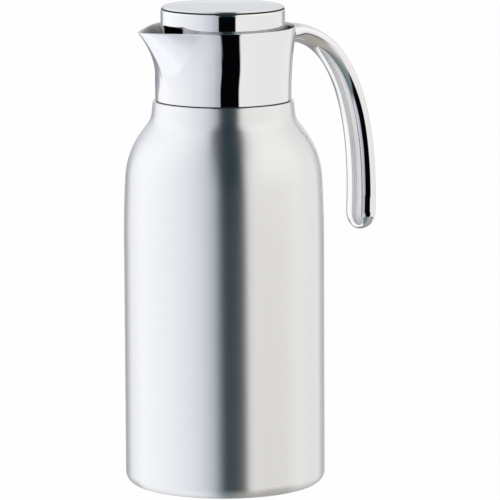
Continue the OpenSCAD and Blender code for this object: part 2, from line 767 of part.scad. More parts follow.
outer_shell();
inner_flask();
vacuum_base();
getter();
base_cap();
base_pad();
collar_gasket();
collar();
insert_gasket();
neck_insert();
handle();
handle_backplate();
handle_screws();
stopper_seal();
stopper_body();
stopper_base();
top_cap();
cap_liner();
cap_screw();
valve_stem();
stem_seal();
return_spring();
valve_disc();
valve_seal();
valve_nut();
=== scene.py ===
# %% [markdown]
# # An insulated pouring jug
#
# The jug has a brushed steel body, a polished collar drawn out into a V-shaped spout, an
# open handle, and a stopper under a polished cap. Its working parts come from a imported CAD
# model, which stays where it is. This file adds the looks: smooth surfaces in place of the
# CAD's facets, the metals and plastics, the studio around the jug, and the camera.
#
# Polished metal shows every flaw of a surface and has hardly a colour of its own. So each
# polished piece is worked out here as a formula on a fine grid, and most of the work on
# the light goes into what stands around the jug.

# %% Set-up
import json
import math

import bmesh
import bpy
import numpy as np
from mathutils import Matrix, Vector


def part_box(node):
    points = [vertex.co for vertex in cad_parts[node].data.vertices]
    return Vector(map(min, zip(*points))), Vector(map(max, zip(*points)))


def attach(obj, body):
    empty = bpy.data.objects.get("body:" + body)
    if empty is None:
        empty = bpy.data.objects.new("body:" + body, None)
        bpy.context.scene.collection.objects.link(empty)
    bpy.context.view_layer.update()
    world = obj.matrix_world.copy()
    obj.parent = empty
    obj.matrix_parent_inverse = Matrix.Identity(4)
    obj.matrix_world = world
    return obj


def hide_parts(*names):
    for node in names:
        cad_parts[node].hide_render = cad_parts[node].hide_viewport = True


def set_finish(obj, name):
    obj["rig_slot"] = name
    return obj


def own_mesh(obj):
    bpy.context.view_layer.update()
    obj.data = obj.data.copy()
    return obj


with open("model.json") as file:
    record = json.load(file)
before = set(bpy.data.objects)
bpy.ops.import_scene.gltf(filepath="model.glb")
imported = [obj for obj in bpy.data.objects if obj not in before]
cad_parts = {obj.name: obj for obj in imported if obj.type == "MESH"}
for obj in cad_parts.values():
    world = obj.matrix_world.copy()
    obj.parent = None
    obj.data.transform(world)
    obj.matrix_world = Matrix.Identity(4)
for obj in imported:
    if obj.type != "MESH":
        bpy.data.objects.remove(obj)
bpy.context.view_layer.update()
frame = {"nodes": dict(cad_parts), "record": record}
MM = 0.001
print("pieces in the frame:", len(frame["nodes"]))

# %% [markdown]
# ## Sizes
#
# Heights and radii that other pieces hang on could be typed in again, but then the two
# models could drift apart. So they are read from the frame's boxes, and the surfaces made
# here sit where the CAD has them. The rest are the jug's own sizes, in millimetres.

# %% Sizes from the frame, in millimetres


def span(node, axis):
    """Lowest and highest value of a CAD node's box along axis 0, 1 or 2, in millimetres."""
    low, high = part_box(node)
    return low[axis] / MM, high[axis] / MM


body_r = span("outer_shell", 1)[1]
shell_low, shell_top = span("outer_shell", 2)
collar_z, rim_z = span("collar", 2)
spout_tip = -span("collar", 0)[0]
cap_foot, cap_peak = span("top_cap", 2)
cap_r = span("top_cap", 1)[1]
print(f"body {body_r:.1f}, shell top {shell_top:.1f}, rim {rim_z:.1f}, cap {cap_r:.2f}")

# %% [markdown]
# ## Surfaces from grids
#
# Every new piece is a sheet of points on two parameters. One helper turns an array of
# points into a mesh, joining each row to the next, and closing the sheet in either
# direction when asked. Faces could be added one by one in a loop. Index arithmetic does it
# for the whole array at once, and the sheet's order stays known, so that a later step can
# pick out its columns.

# %% A mesh from a grid of points
SHARP_DEG = 35  # faces that meet at a steeper angle than this keep a hard edge


def quads(m, n, wrap_rows, wrap_columns):
    """Corner indices of the faces between m rows and n columns; wrap joins last to first."""
    i = np.arange(m if wrap_rows else m - 1)[:, None]
    j = np.arange(n if wrap_columns else n - 1)[None, :]
    i2, j2 = (i + 1) % m, (j + 1) % n
    corners = [i * n + j, i2 * n + j, i2 * n + j2, i * n + j2]
    return np.stack(np.broadcast_arrays(*corners), -1).reshape(-1, 4)


def mesh_piece(name, points, faces):
    """An object from points in millimetres and a list of faces, smooth but for sharp edges."""
    mesh = bpy.data.meshes.new(name)
    mesh.from_pydata((points * MM).tolist(), [], [list(f) for f in faces])
    mesh.validate()
    mesh.polygons.foreach_set("use_smooth", np.ones(len(mesh.polygons), bool))
    mesh.set_sharp_from_angle(angle=math.radians(SHARP_DEG))
    mesh.update()
    piece = bpy.data.objects.new(name, mesh)
    bpy.context.scene.collection.objects.link(piece)
    return piece


def grid_piece(name, grid, wrap_rows=False):
    """An object from an (m, n, 3) grid of points, whose columns close on themselves."""
    m, n = grid.shape[:2]
    return mesh_piece(name, grid.reshape(-1, 3), quads(m, n, wrap_rows, True))


def merged(piece, distance=1e-7):
    """Joins points that lie on each other, drops faces that lost their area, and turns
    all faces outwards."""
    b = bmesh.new()
    b.from_mesh(piece.data)
    bmesh.ops.remove_doubles(b, verts=b.verts, dist=distance)
    bmesh.ops.dissolve_degenerate(b, edges=b.edges, dist=distance)
    bmesh.ops.recalc_face_normals(b, faces=b.faces)
    b.to_mesh(piece.data)
    b.free()
    return piece


print("a sheet of 3 by 4 points has", len(quads(3, 4, False, False)), "faces")

# %% Pieces that ride on the mechanism
new_pieces = []


def place(piece, body, slot, *nodes):
    """Puts a piece on a body of the mechanism, in a finish, in place of CAD nodes."""
    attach(piece, body)
    if nodes:
        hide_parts(*nodes)
    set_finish(piece, slot)
    new_pieces.append(piece)
    print(f"{piece.name}: {len(piece.data.polygons)} faces, rides on {body}")
    return piece


cad_slots = {part["material_slot"] for part in frame["record"]["subparts"]}
print("finishes that the CAD names:", sorted(cad_slots))

# %% [markdown]
# ## Turned pieces
#
# Most of a jug is turned: an outline in (radius, height), carried once round the axis.
# Blender's Screw modifier could do it from a drawn curve. A function does it from an
# outline that is itself worked out, so each arc keeps its true radius.
#
# Real edges are never knife sharp, and a small round on each corner is what catches the
# light. `rounded` replaces each corner of an outline with a curve that touches both sides.

# %% Outlines and turning


def arc(centre, r, start, end, n):
    """Points of an arc: centre + r (cos a, sin a), with a from start to end in degrees."""
    a = np.radians(np.linspace(start, end, n))
    return np.array(centre) + r * np.stack([np.cos(a), np.sin(a)], 1)


def unit(deg):
    """The direction (cos, sin) of an angle in degrees."""
    return np.array([math.cos(math.radians(deg)), math.sin(math.radians(deg))])


def rounded(corners, r, n=5):
    """A closed outline with every corner off the axis cut back by r and joined by a curve.

    Between the two cut points runs the quadratic curve with the corner as its control
    point: (1-t)^2 p + 2 t (1-t) corner + t^2 q. r shrinks where a side is short."""
    c = np.array(corners, float)
    before, after = np.roll(c, 1, 0), np.roll(c, -1, 0)
    to_p, to_q = before - c, after - c
    len_p = np.linalg.norm(to_p, axis=1, keepdims=True)
    len_q = np.linalg.norm(to_q, axis=1, keepdims=True)
    cut = np.minimum(r, 0.45 * np.minimum(len_p, len_q)) * (c[:, :1] > 1e-6)
    p, q = c + to_p / len_p * cut, c + to_q / len_q * cut
    t = np.linspace(0, 1, n)[None, :, None]
    curve = (1 - t) ** 2 * p[:, None] + 2 * t * (1 - t) * c[:, None] + t**2 * q[:, None]
    return curve.reshape(-1, 2)


def around(r, z, a):
    """Points at radius r and height z, turned by a round the Z axis: (r cos a, r sin a, z),
    with a in radians. The spout points along -X, so angles from it go with a negative r."""
    return np.stack(np.broadcast_arrays(r * np.cos(a), r * np.sin(a), z), -1)


def turned(name, outline, sides=192):
    """The outline in (radius, height) carried round the Z axis. Points on the axis merge."""
    a = np.radians(np.linspace(0, 360, sides, endpoint=False))[:, None]
    return merged(grid_piece(name, around(*outline[::-1].T, a), True))


def ring_corners(inner, outer, low, high):
    """The four corners of a flat ring's section."""
    return [[inner, low], [outer, low], [outer, high], [inner, high]]


test_ring = rounded(ring_corners(1, 2, 0, 1), 0.1)
print("a ring with 4 corners has", len(test_ring), "points when they are rounded")

# %% [markdown]
# ## The body
#
# The real body is a steel tube, spun into a bottle's shoulder and then brushed. Inside it
# stands a second bottle that holds the drink, with a vacuum between them. Both sides are
# chains of curves that touch: a nearly upright neck, a hollow throat, a straight slope, a
# round shoulder and a long slow flank that dies into the wall.
#
# A curve drawn by hand could be turned instead, but its small waves would show in the
# steel. Here each arc starts where the one above it ends, with the same slope, so the
# steel shows one unbroken reflection.

# %% The side of a bottle
# Lengths in millimetres; slope, lean and neck_lean are angles of the outward normal.
SHELL_SIDE = {"neck_r": 42.1, "neck_h": 7.6, "neck_lean": 6.0, "throat": 12.5,
              "slope": 37.0, "crown": 50.0, "lean": 3.3, "flank": 640.0}
FLASK_SIDE = {"neck_r": 34.0, "neck_h": 12.0, "neck_lean": 0.0, "throat": 8.0,
              "slope": 42.0, "crown": 40.0, "lean": 3.0, "flank": 300.0}


def bottle_side(wall_r, inset, neck_r, neck_h, neck_lean, throat, slope, crown, lean, flank):
    """A bottle's side from neck to wall, moved inwards by inset, as arcs that share their
    ends: hollow throat, round crown, slow flank. A straight slope joins the first two."""
    neck_foot = np.array([neck_r + neck_h * math.tan(math.radians(neck_lean)),
                          shell_top - neck_h])
    throat_c = neck_foot + throat * unit(neck_lean)
    slope_top = throat_c - throat * unit(slope)
    flank_top_r = wall_r - flank * (1 - unit(lean)[0])
    drop = flank_top_r - slope_top[0] - crown * (unit(lean)[0] - unit(slope)[0])
    slope_foot = slope_top + drop / unit(slope)[1] * np.array([unit(slope)[1], -unit(slope)[0]])
    crown_c = slope_foot - crown * unit(slope)
    flank_c = crown_c + (crown - flank) * unit(lean)
    return np.concatenate([
        arc(throat_c, -throat - inset, neck_lean, slope, 24),
        arc(crown_c, crown - inset, slope, lean, 40),
        arc(flank_c, flank - inset, lean, 0, 24)[1:],
    ])


shell_side = bottle_side(body_r, 0, **SHELL_SIDE)
print(f"the shell's side falls from {shell_side[0, 1]:.1f} to {shell_side[-1, 1]:.1f}")

# %% The body's two walls
SHELL_WALL, FOOT_EDGE_R, FOOT_OPEN_R, NECK_LIP_R = 1.0, 7.0, 50.0, 0.45
FLASK_WALL, FLASK_FLOOR, FLASK_FOOT_R, VACUUM_GAP = 0.8, 14.0, 14.0, 5.0


def shell_outline():
    """The whole wall of the shell: outside from neck ring to foot lip, and back inside."""
    neck_r, flask_neck_r = SHELL_SIDE["neck_r"], FLASK_SIDE["neck_r"]
    foot_c = [body_r - FOOT_EDGE_R, shell_low + FOOT_EDGE_R]
    lip_c = [neck_r - NECK_LIP_R, shell_top - NECK_LIP_R]
    ring_z = shell_top - SHELL_WALL
    return np.concatenate([
        arc(lip_c, NECK_LIP_R, 90, SHELL_SIDE["neck_lean"], 7),
        shell_side,
        arc(foot_c, FOOT_EDGE_R, 0, -90, 24),
        [[FOOT_OPEN_R, shell_low], [FOOT_OPEN_R, shell_low + SHELL_WALL]],
        arc(foot_c, FOOT_EDGE_R - SHELL_WALL, -90, 0, 16),
        bottle_side(body_r, SHELL_WALL, **SHELL_SIDE)[::-1],
        [[neck_r - SHELL_WALL, ring_z], [flask_neck_r, ring_z], [flask_neck_r, shell_top]],
    ])


def flask_outline():
    """The inner wall, outside and inside: its neck stands in the shell's, its foot is round."""
    wall_r, neck_r = body_r - SHELL_WALL - VACUUM_GAP, FLASK_SIDE["neck_r"]
    foot_c = [wall_r - FLASK_FOOT_R, FLASK_FLOOR + FLASK_FOOT_R]
    sides = [bottle_side(wall_r, inset, **FLASK_SIDE) for inset in (0, FLASK_WALL)]
    feet = [arc(foot_c, FLASK_FOOT_R - inset, 0, -90, 20) for inset in (0, FLASK_WALL)]
    return np.concatenate([
        [[neck_r, shell_top]], sides[0], feet[0],
        [[0, FLASK_FLOOR], [0, FLASK_FLOOR + FLASK_WALL]],
        feet[1][::-1], sides[1][::-1], [[neck_r - FLASK_WALL, shell_top]],
    ])


place(turned("shell_surface", shell_outline(), sides=256), "jug", "brushed_shell", "outer_shell")
place(turned("flask_surface", flask_outline(), sides=160), "jug", "inner_steel", "inner_flask")

# %% [markdown]
# ## The collar and its spout
#
# The real collar is pressed from one steel cup and drawn out on one side into a spout. It
# could be a turned wall with a wedge joined to it, and then blended by sculpting, but a
# mirror would show the blend.
#
# Seen from above, the collar is a circle with two flanks that leave it softly and meet at
# the spout's ridge. Low down the ridge is broad and lies on the circle; towards the rim it
# moves out faster and faster and grows sharp. That one rule gives the whole spout, with no
# crease where it leaves the round wall.

# %% The collar's outline at a height
COLLAR_FOOT_R, COLLAR_RIM_R, FLARE = 40.75, 44.1, 2.1
SPOUT_REACH, SPOUT_CURVE, SPOUT_ROUND, SPOUT_SOFT = 60.3, 2.12, 4.0, 25.0
FLANK_STRAIGHT = 4.0  # how straight the flanks run before they bend into the circle
LEAST_FLANK, STEEP_LIMIT = 0.05, 9.0  # keep the sums in range low down, where no flank is left


def collar_r(z):
    """Radius of the collar's round part at a height: foot + (rim - foot) share^flare."""
    share = np.clip((z - collar_z) / (rim_z - collar_z), 0, 1)
    return COLLAR_FOOT_R + (COLLAR_RIM_R - COLLAR_FOOT_R) * share**FLARE


def collar_outline(z, turn, inset):
    """Distance of the wall from the axis at height z and angle turn from the spout, in
    degrees: r / cos(lean). Lean is the angle of a straight flank, acos(r / ridge), at the
    ridge, and runs out softly to nothing where the flank meets the circle."""
    share = np.clip((z - collar_z) / (rim_z - collar_z), 0, 1)
    r = collar_r(z)
    ridge = r + (SPOUT_REACH - COLLAR_RIM_R) * share**SPOUT_CURVE
    flank = np.degrees(np.arccos(np.clip(r / ridge, -1, 1)))
    tip = SPOUT_ROUND + SPOUT_SOFT * (1 - share)
    a = np.sqrt(turn**2 + tip**2)
    steep = (tip + flank - a) / np.maximum(flank, LEAST_FLANK)
    steep = FLANK_STRAIGHT * np.clip(steep, -STEEP_LIMIT, STEEP_LIMIT)
    lean = flank * np.log1p(np.exp(steep)) / np.log1p(np.exp(FLANK_STRAIGHT))
    return (r - inset) / np.cos(np.radians(lean))


print(f"wall at the rim, on the spout's side: {collar_outline(rim_z, 0.0, 0.0):.1f} from the axis")

# %% The collar's wall
COLLAR_WALL, COLLAR_FLOOR, COLLAR_HOLE_R, RIM_ROUND = 1.3, 1.5, 36.3, 0.25
WALL_ROWS, LIP_ROWS = 60, 6
NEAR_SPOUT, CROWDING = 70, 1.3  # degrees, and how much closer the steps are at the ridge


def collar_surface():
    """The closed wall: up the outside, over a flat rim with rounded edges, down the inside
    and along the floor to its hole. Angles lie closest near the spout."""
    steps = np.concatenate([NEAR_SPOUT * np.linspace(0, 1, 100) ** CROWDING,
                            np.linspace(NEAR_SPOUT, 180, 111)[1:]])
    turn = np.concatenate([steps, -steps[-2:0:-1]])[:, None]
    lip = np.radians(np.linspace(0, 90, LIP_ROWS))
    z_out = collar_z + (rim_z - RIM_ROUND - collar_z) * np.linspace(0, 1, WALL_ROWS)
    z_in = np.linspace(rim_z - RIM_ROUND, collar_z + COLLAR_FLOOR, 40)
    z = np.concatenate([z_out[:-1], rim_z - RIM_ROUND + RIM_ROUND * np.sin(lip),
                        rim_z - RIM_ROUND + RIM_ROUND * np.sin(lip[::-1]), z_in[1:]])[None, :]
    inset = np.concatenate([0 * z_out[:-1], RIM_ROUND - RIM_ROUND * np.cos(lip),
                            COLLAR_WALL - RIM_ROUND + RIM_ROUND * np.cos(lip[::-1]),
                            0 * z_in[1:] + COLLAR_WALL])[None, :]
    r = collar_outline(z, turn, inset)
    hole = np.array([[COLLAR_HOLE_R, collar_z + COLLAR_FLOOR], [COLLAR_HOLE_R, collar_z]])
    r = np.concatenate([r, np.broadcast_to(hole[:, 0], (len(turn), 2))], 1)
    return around(-r, np.concatenate([z[0], hole[:, 1]]), np.radians(turn))


collar_grid = collar_surface()
collar_columns = collar_grid.shape[1]
outside_columns = WALL_ROWS - 1 + LIP_ROWS  # from the foot up to the rim's flat top
collar = place(grid_piece("collar_surface", collar_grid, True), "jug", "polished_steel",
               "collar")
print(f"the spout's ridge reaches {-collar_grid[..., 0].min():.1f}, the CAD's {spout_tip:.1f}")

# %% [markdown]
# ## The handle
#
# The real handle is one steel bar, polished all over. Its centre line is a cubic curve:
# level out of the collar, round, and down beside the body. Its section is round towards
# the body, where the fingers close on it, and nearly flat on its back, with two tight rounds
# between. The section grows along the bar, and the lower end closes in a long half ball.
#
# A bevelled curve object could carry the section too. Doing it with arrays lets the
# section change along the way, from an ellipse at the collar to the full shape.

# %% The handle's section
FRONT_R, CORNER_R, BACK_R, FRONT_DEG = 12.0, 3.9, 30.0, 68.2


def grip_section():
    """A closed outline (out, side) of half depth 1 and half width 1, by its normal's angle
    from the inward direction: a front arc, a tight corner, a slow back arc, and mirrored."""
    corner_side = (FRONT_R - CORNER_R) * unit(FRONT_DEG)[1]
    corner_out = -(FRONT_R - CORNER_R) * unit(FRONT_DEG)[0]
    back_deg = math.degrees(math.asin(corner_side / (BACK_R - CORNER_R)))
    back_out = corner_out - (BACK_R - CORNER_R) * unit(back_deg)[0]
    half = np.concatenate([
        arc([0, 0], FRONT_R, 180, 180 - FRONT_DEG, 20),
        arc([corner_out, corner_side], CORNER_R, 180 - FRONT_DEG, back_deg, 22)[1:],
        arc([back_out, 0], BACK_R, back_deg, 0, 8)[1:],
    ])
    ring = np.concatenate([half, half[-2:0:-1] * [1, -1]])
    ring[:, 0] -= (ring[:, 0].max() + ring[:, 0].min()) / 2
    return ring / np.abs(ring).max(0)


print("points round the handle:", len(grip_section()))

# %% The handle's path
STEM_DROP, GRIP_REACH, GRIP_END_Z, GRIP_TILT = 6.9, 100.5, 145.0, 2.6
GRIP_HALF_D, GRIP_HALF_W = 7.0, 11.4
END_STRETCH = 4.1  # the lower end is this much longer than half a ball
GRIP_ROUND = GRIP_HALF_D + END_STRETCH
PATH_START, LEVEL_SHARE, DROP_SHARE = 1.9, 0.654, 0.636  # a length, and two shares of the way
stem_z = rim_z - STEM_DROP


def cubic(points, t):
    """Points and unit directions of a cubic curve with control points a, b, c and d:
    (1-t)^3 a + 3 (1-t)^2 t b + 3 (1-t) t^2 c + t^3 d, and the direction of its slope."""
    p = np.array(points)
    t = np.asarray(t)[:, None]
    at = ((1 - t) ** 3 * p[0] + 3 * (1 - t) ** 2 * t * p[1] + 3 * (1 - t) * t**2 * p[2]
          + t**3 * p[3])
    d = (1 - t) ** 2 * (p[1] - p[0]) + 2 * (1 - t) * t * (p[2] - p[1]) + t**2 * (p[3] - p[2])
    return at, d / np.linalg.norm(d, axis=1, keepdims=True)


def grip_path():
    """The four control points: two level with the stem, two on the leaning lower part."""
    low = np.array([GRIP_REACH, GRIP_END_Z + GRIP_ROUND])
    drop = DROP_SHARE * (stem_z - low[1])
    return [[COLLAR_RIM_R + PATH_START, stem_z],
            [COLLAR_RIM_R + LEVEL_SHARE * (GRIP_REACH - COLLAR_RIM_R), stem_z],
            low + drop * np.array([math.tan(math.radians(GRIP_TILT)), 1]), low]


path_points, _ = cubic(grip_path(), np.linspace(0, 1, 100))
path_length = np.linalg.norm(np.diff(path_points, axis=0), axis=1).sum()
print(f"the handle's centre line is {path_length:.0f} long")

# %% The handle's surface
STEM_HALF_H, STEM_HALF_W, STEM_SHARE = 5.6, 8.6, 0.1
GROWTH = 0.7  # the section grows with this power of the way along the path
ROOT_GAP = 0.05  # the bar's own end lies this far off the collar's wall


def grip_surface(ring, rows=150):
    """The section set across the path: centre + depth * out + width * side, where out is
    the path's direction turned a quarter towards the handle's back. Over the first part of
    the path the section comes out of an ellipse, by the size each of its points has."""
    t = np.linspace(0, 1, rows)
    centre, along = cubic(grip_path(), t)
    swell = t**GROWTH
    depth = STEM_HALF_H + (GRIP_HALF_D - STEM_HALF_H) * swell
    width = STEM_HALF_W + (GRIP_HALF_W - STEM_HALF_W) * swell
    end = np.radians(np.linspace(0, 90, 33)[1:])
    ball = centre[-1] + GRIP_ROUND * np.sin(end)[:, None] * along[-1]
    centre = np.concatenate([centre, ball])
    along = np.concatenate([along, np.repeat(along[-1:], len(end), 0)])
    depth = np.concatenate([depth, GRIP_HALF_D * np.cos(end)])[:, None]
    width = np.concatenate([width, GRIP_HALF_W * np.cos(end)])[:, None]
    share = np.clip(np.append(t, 1 + end) / STEM_SHARE, 0, 1)[:, None]
    share = share**2 * (3 - 2 * share)
    size = share + (1 - share) / np.linalg.norm(ring, axis=1)
    x = centre[:, :1] - along[:, 1:] * depth * size * ring[:, 0]
    z = centre[:, 1:] + along[:, :1] * depth * size * ring[:, 0]
    return np.stack([x, width * size * ring[:, 1], z], -1)


def stem_root(ring, rows=4):
    """Rings from the first section back to the collar, and a cap that lies on its wall:
    x = sqrt(collar radius^2 - y^2)."""
    y, z = ring[:, 1], ring[:, 2]
    share = np.linspace(0, 1, rows + 1)[:, None]
    cap_y, cap_z = share * y, stem_z + share * (z - stem_z)
    cap_x = np.sqrt(collar_r(cap_z) ** 2 - cap_y**2) + ROOT_GAP
    cap = np.stack([cap_x, cap_y, cap_z], -1)
    bar = cap[-1] + (ring - cap[-1]) * np.linspace(0, 1, rows + 1)[1:-1, None, None]
    return np.concatenate([cap, bar])


grip = grip_surface(grip_section())
handle = merged(grid_piece("handle_surface", np.concatenate([stem_root(grip[0]), grip])))
place(handle, "jug", "polished_steel", "handle")

# %% [markdown]
# ## The cap
#
# The real cap is a steel cup, turned upside down over the stopper, with a plate let into
# its top. Pressing it pushes the valve open. Between cup and plate runs a thin seam. A black
# ring set in it is painted shade, which stands for the seam's shadow. The skirt has a notch
# over the spout that lets the drink out.
#
# The notch could be cut with a boolean, but that leaves long thin faces, which a mirror
# shows as streaks. Here one sheet covers everything above a line that runs round the skirt
# and jumps up over the notch with rounded corners, and a second sheet fills the skirt below
# that line everywhere but in the notch. Giving the sheet a thickness makes the wall.

# %% The cap's outline
CAP_WALL, CAP_EDGE_R, CAP_DOME = 0.9, 2.4, 1.0
SEAM_FOOT, SEAM_H, SEAM_DEPTH = 27.0, 0.8, 0.5  # the first in degrees up the edge's round
PLATE_SET_IN, PLATE_EDGE_R = 0.35, 0.3
cap_top = cap_peak - CAP_DOME
cap_edge = arc([cap_r - CAP_EDGE_R, cap_top - CAP_EDGE_R], CAP_EDGE_R, 0, SEAM_FOOT, 9)
seam_r, seam_z = cap_edge[-1]


def cap_outline():
    """The cap from its edge round to the middle, in (radius, height): the edge's round, a
    square groove for the seam, the plate's own small edge, and the dome, whose height
    falls from the middle with the square of the radius."""
    plate_r, plate_low = seam_r - PLATE_SET_IN, seam_z + SEAM_H
    groove = [[seam_r - SEAM_DEPTH, seam_z], [seam_r - SEAM_DEPTH, plate_low]]
    plate_c = [plate_r - PLATE_EDGE_R, plate_low + PLATE_EDGE_R]
    plate = arc(plate_c, PLATE_EDGE_R, -90, 80, 8)
    dome_r, dome_low = plate[-1]
    r = dome_r * (1 - np.linspace(0, 1, 33)[1:])
    dome = dome_low + (cap_peak - dome_low) * (1 - (r / dome_r) ** 2)
    return np.concatenate([cap_edge, groove, plate, np.stack([r, dome], 1)])


print(f"the seam runs at radius {seam_r:.2f} and height {seam_z:.2f}")

# %% The skirt and its notch
NOTCH_HALF_W, NOTCH_TOP, NOTCH_CORNER_R = 10.25, 1.6, 1.6
NOTCH_LEVEL = 0.8  # share of the notch's half angle that is sure to lie before the corner
SKIRT_ROWS, HEM_ROWS = 12, 14  # rows of points above and below the notch's line
notch_z = rim_z + NOTCH_TOP
notch_deg = math.degrees(math.asin(NOTCH_HALF_W / cap_r))


def notch_line(turn):
    """Height of the notch's edge at an angle from the spout: level, then a quarter round
    down by the corner's radius. y is the distance to the side, r sin(turn)."""
    y = cap_r * np.sin(np.radians(np.minimum(np.abs(turn), notch_deg)))
    over = np.clip((y - (NOTCH_HALF_W - NOTCH_CORNER_R)) / NOTCH_CORNER_R, 0, 1)
    return notch_z - NOTCH_CORNER_R * (1 - np.sqrt(1 - over**2))


def skirt_turns():
    """Angles from the spout, in degrees, all the way round, closest at the corners."""
    half = np.concatenate([
        np.linspace(0, NOTCH_LEVEL * notch_deg, 10)[:-1],
        notch_deg * np.linspace(NOTCH_LEVEL, 1, 13),
        np.linspace(notch_deg, 180, 110)[1:],
    ])
    return np.concatenate([half, -half[-2:0:-1]])


print(f"the notch is {2 * NOTCH_HALF_W} wide and takes up {2 * notch_deg:.1f} degrees")

# %% The cap's surface


def cap_surface():
    """Points and faces of the two sheets, whose points lie on each other along their common
    line. The upper sheet's rows climb evenly from the notch's line to the edge, and then
    follow the cap's outline. The lower sheet's rows climb evenly from the skirt's foot."""
    turn, edge = skirt_turns(), cap_outline()
    low = notch_line(turn)
    share = np.linspace(0, 1, SKIRT_ROWS)[:, None]
    upper_z = np.concatenate([low + (edge[0, 1] - low) * share,
                              np.repeat(edge[1:, 1:], len(turn), 1)])
    upper_r = np.concatenate([np.full((SKIRT_ROWS, len(turn)), cap_r),
                              np.repeat(edge[1:, :1], len(turn), 1)])
    hem = np.where(np.abs(turn) >= notch_deg - 1e-6)[0]
    hem = np.concatenate([hem[turn[hem] > 0], hem[turn[hem] < 0]])
    lower_z = np.linspace(cap_foot, notch_z - NOTCH_CORNER_R, HEM_ROWS)[:, None] + 0 * hem
    upper = around(-upper_r, upper_z, np.radians(turn))
    lower = around(-cap_r, lower_z, np.radians(turn[hem]))
    faces_up = quads(*upper.shape[:2], False, True)
    faces_low = quads(*lower.shape[:2], False, False) + upper.shape[0] * upper.shape[1]
    points = np.concatenate([upper.reshape(-1, 3), lower.reshape(-1, 3)])
    return points, np.concatenate([faces_up, faces_low])


def thicken(piece, wall):
    """Gives a sheet a wall inwards, in millimetres, of the same thickness in its corners."""
    solid = piece.modifiers.new("wall", "SOLIDIFY")
    solid.thickness = wall * MM
    solid.offset = -1
    solid.use_even_offset = True


cap = merged(mesh_piece("cap_surface", *cap_surface()), 1e-6)
thicken(cap, CAP_WALL)
place(cap, "press_cap", "polished_steel", "top_cap")

# %% The black ring in the cap's seam: painted shade for the seam's shadow
RING_SET_IN, RING_SINK, RING_LAP = 0.3, 0.1, 0.05  # behind the edge, into floor and sides

# a black ring sunk in the groove, as the painted shadow of the seam
seam_shade_ring = ring_corners(seam_r - SEAM_DEPTH - RING_SINK, seam_r - RING_SET_IN,
                         seam_z - RING_LAP, seam_z + SEAM_H + RING_LAP)
place(turned("cap_seam_shade", rounded(seam_shade_ring, RING_LAP)), "press_cap", "rubber")

# %% [markdown]
# ## Moulded rings and discs
#
# The gaskets and seals, the cover under the foot, the stopper's seat ring and the valve
# disc are all moulded rings. A bevel modifier could round their edges, but then its width
# has to be right on every piece. Here each ring is its CAD outline with the corners
# rounded off, as a mould would leave them, and carried round the axis.

# %% The cover under the foot
FIT = 0.05  # air between two pieces that are put together
PAD_T, COVER_LIP_Z, COVER_LIP_R = 2.0, 1.5, 53.0
COVER_SNAP = [52.4, 2.9]  # where the lip turns inwards
COVER_TOP_R = 48.0
foot_low, foot_high = span("base_cap", 2)
pad_r = span("base_pad", 1)[1]


def foot_cover():
    """A disc over the pad, with a wall down round it, and a lip that snaps in behind the
    shell's foot."""
    wall_r = FOOT_OPEN_R - FIT
    return [[0, PAD_T], [pad_r + FIT, PAD_T], [pad_r + FIT, foot_low], [wall_r, foot_low],
            [wall_r, COVER_LIP_Z], [COVER_LIP_R, COVER_LIP_Z], COVER_SNAP,
            [COVER_TOP_R, foot_high], [0, foot_high]]


print(f"cover from {foot_low:.1f} to {foot_high:.1f}, pad radius {pad_r:.1f}")

# %% The stopper's seat and the valve disc
SEAT_HOLE_R, SEAT_CHAMFER, SEAT_T = 19.0, 0.8, 1.6
SLEEVE_IN, SLEEVE_T, SLEEVE_H = 2.15, 1.0, 4.0
DISC_R, DISC_T, DISC_CHAMFER, ROD_HOLE_R = 23.5, 2.5, 1.0, 2.55
DISC_LIP_R, DISC_LIP_T, DISC_LIP_H = 17.5, 1.5, 1.4
HUB_FOOT_R, HUB_TOP_R = 7.0, 6.0
seat_z, plug_z = span("stopper_base", 2)[0], span("stopper_body", 2)[0]
plug_r = span("stopper_base", 1)[1]
disc_z, hub_z = span("valve_disc", 2)
disc_top = disc_z + DISC_T


def stopper_seat():
    """The ring that closes the stopper from below, with a sleeve up into its body."""
    sleeve_r, sleeve_top = plug_r - SLEEVE_IN, plug_z + SLEEVE_H
    return [[SEAT_HOLE_R, seat_z], [plug_r - SEAT_CHAMFER, seat_z],
            [plug_r, seat_z + SEAT_CHAMFER], [plug_r, plug_z], [sleeve_r, plug_z],
            [sleeve_r, sleeve_top], [sleeve_r - SLEEVE_T, sleeve_top],
            [SEAT_HOLE_R, seat_z + SEAT_T]]


def valve_disc():
    """The disc on the press rod: a chamfered edge, a lip that holds its ring, and a hub."""
    lip_in, lip_top = DISC_LIP_R - DISC_LIP_T, disc_top + DISC_LIP_H
    return [[ROD_HOLE_R, disc_z], [DISC_R - DISC_CHAMFER, disc_z],
            [DISC_R, disc_z + DISC_CHAMFER], [DISC_R, disc_top], [DISC_LIP_R, disc_top],
            [DISC_LIP_R, lip_top], [lip_in, lip_top], [lip_in, disc_top],
            [HUB_FOOT_R, disc_top], [HUB_TOP_R, hub_z], [ROD_HOLE_R, hub_z]]


print(f"plug radius {plug_r:.1f}, seat at {seat_z:.1f}, valve disc at {disc_z:.1f}")

# %% The moulded rings
COLLAR_RING_IN, INSERT_RING_IN, INSERT_RING_T = 0.4, 0.8, 0.8
FLANGE_GAP, FLANGE_RING_R = 0.3, 35.3
VALVE_RING_R, VALVE_RING_H = 23.0, 2.0
STEM_RING_IN, STEM_RING_OUT = 3.05, 4.4
collar_floor_z = collar_z + COLLAR_FLOOR

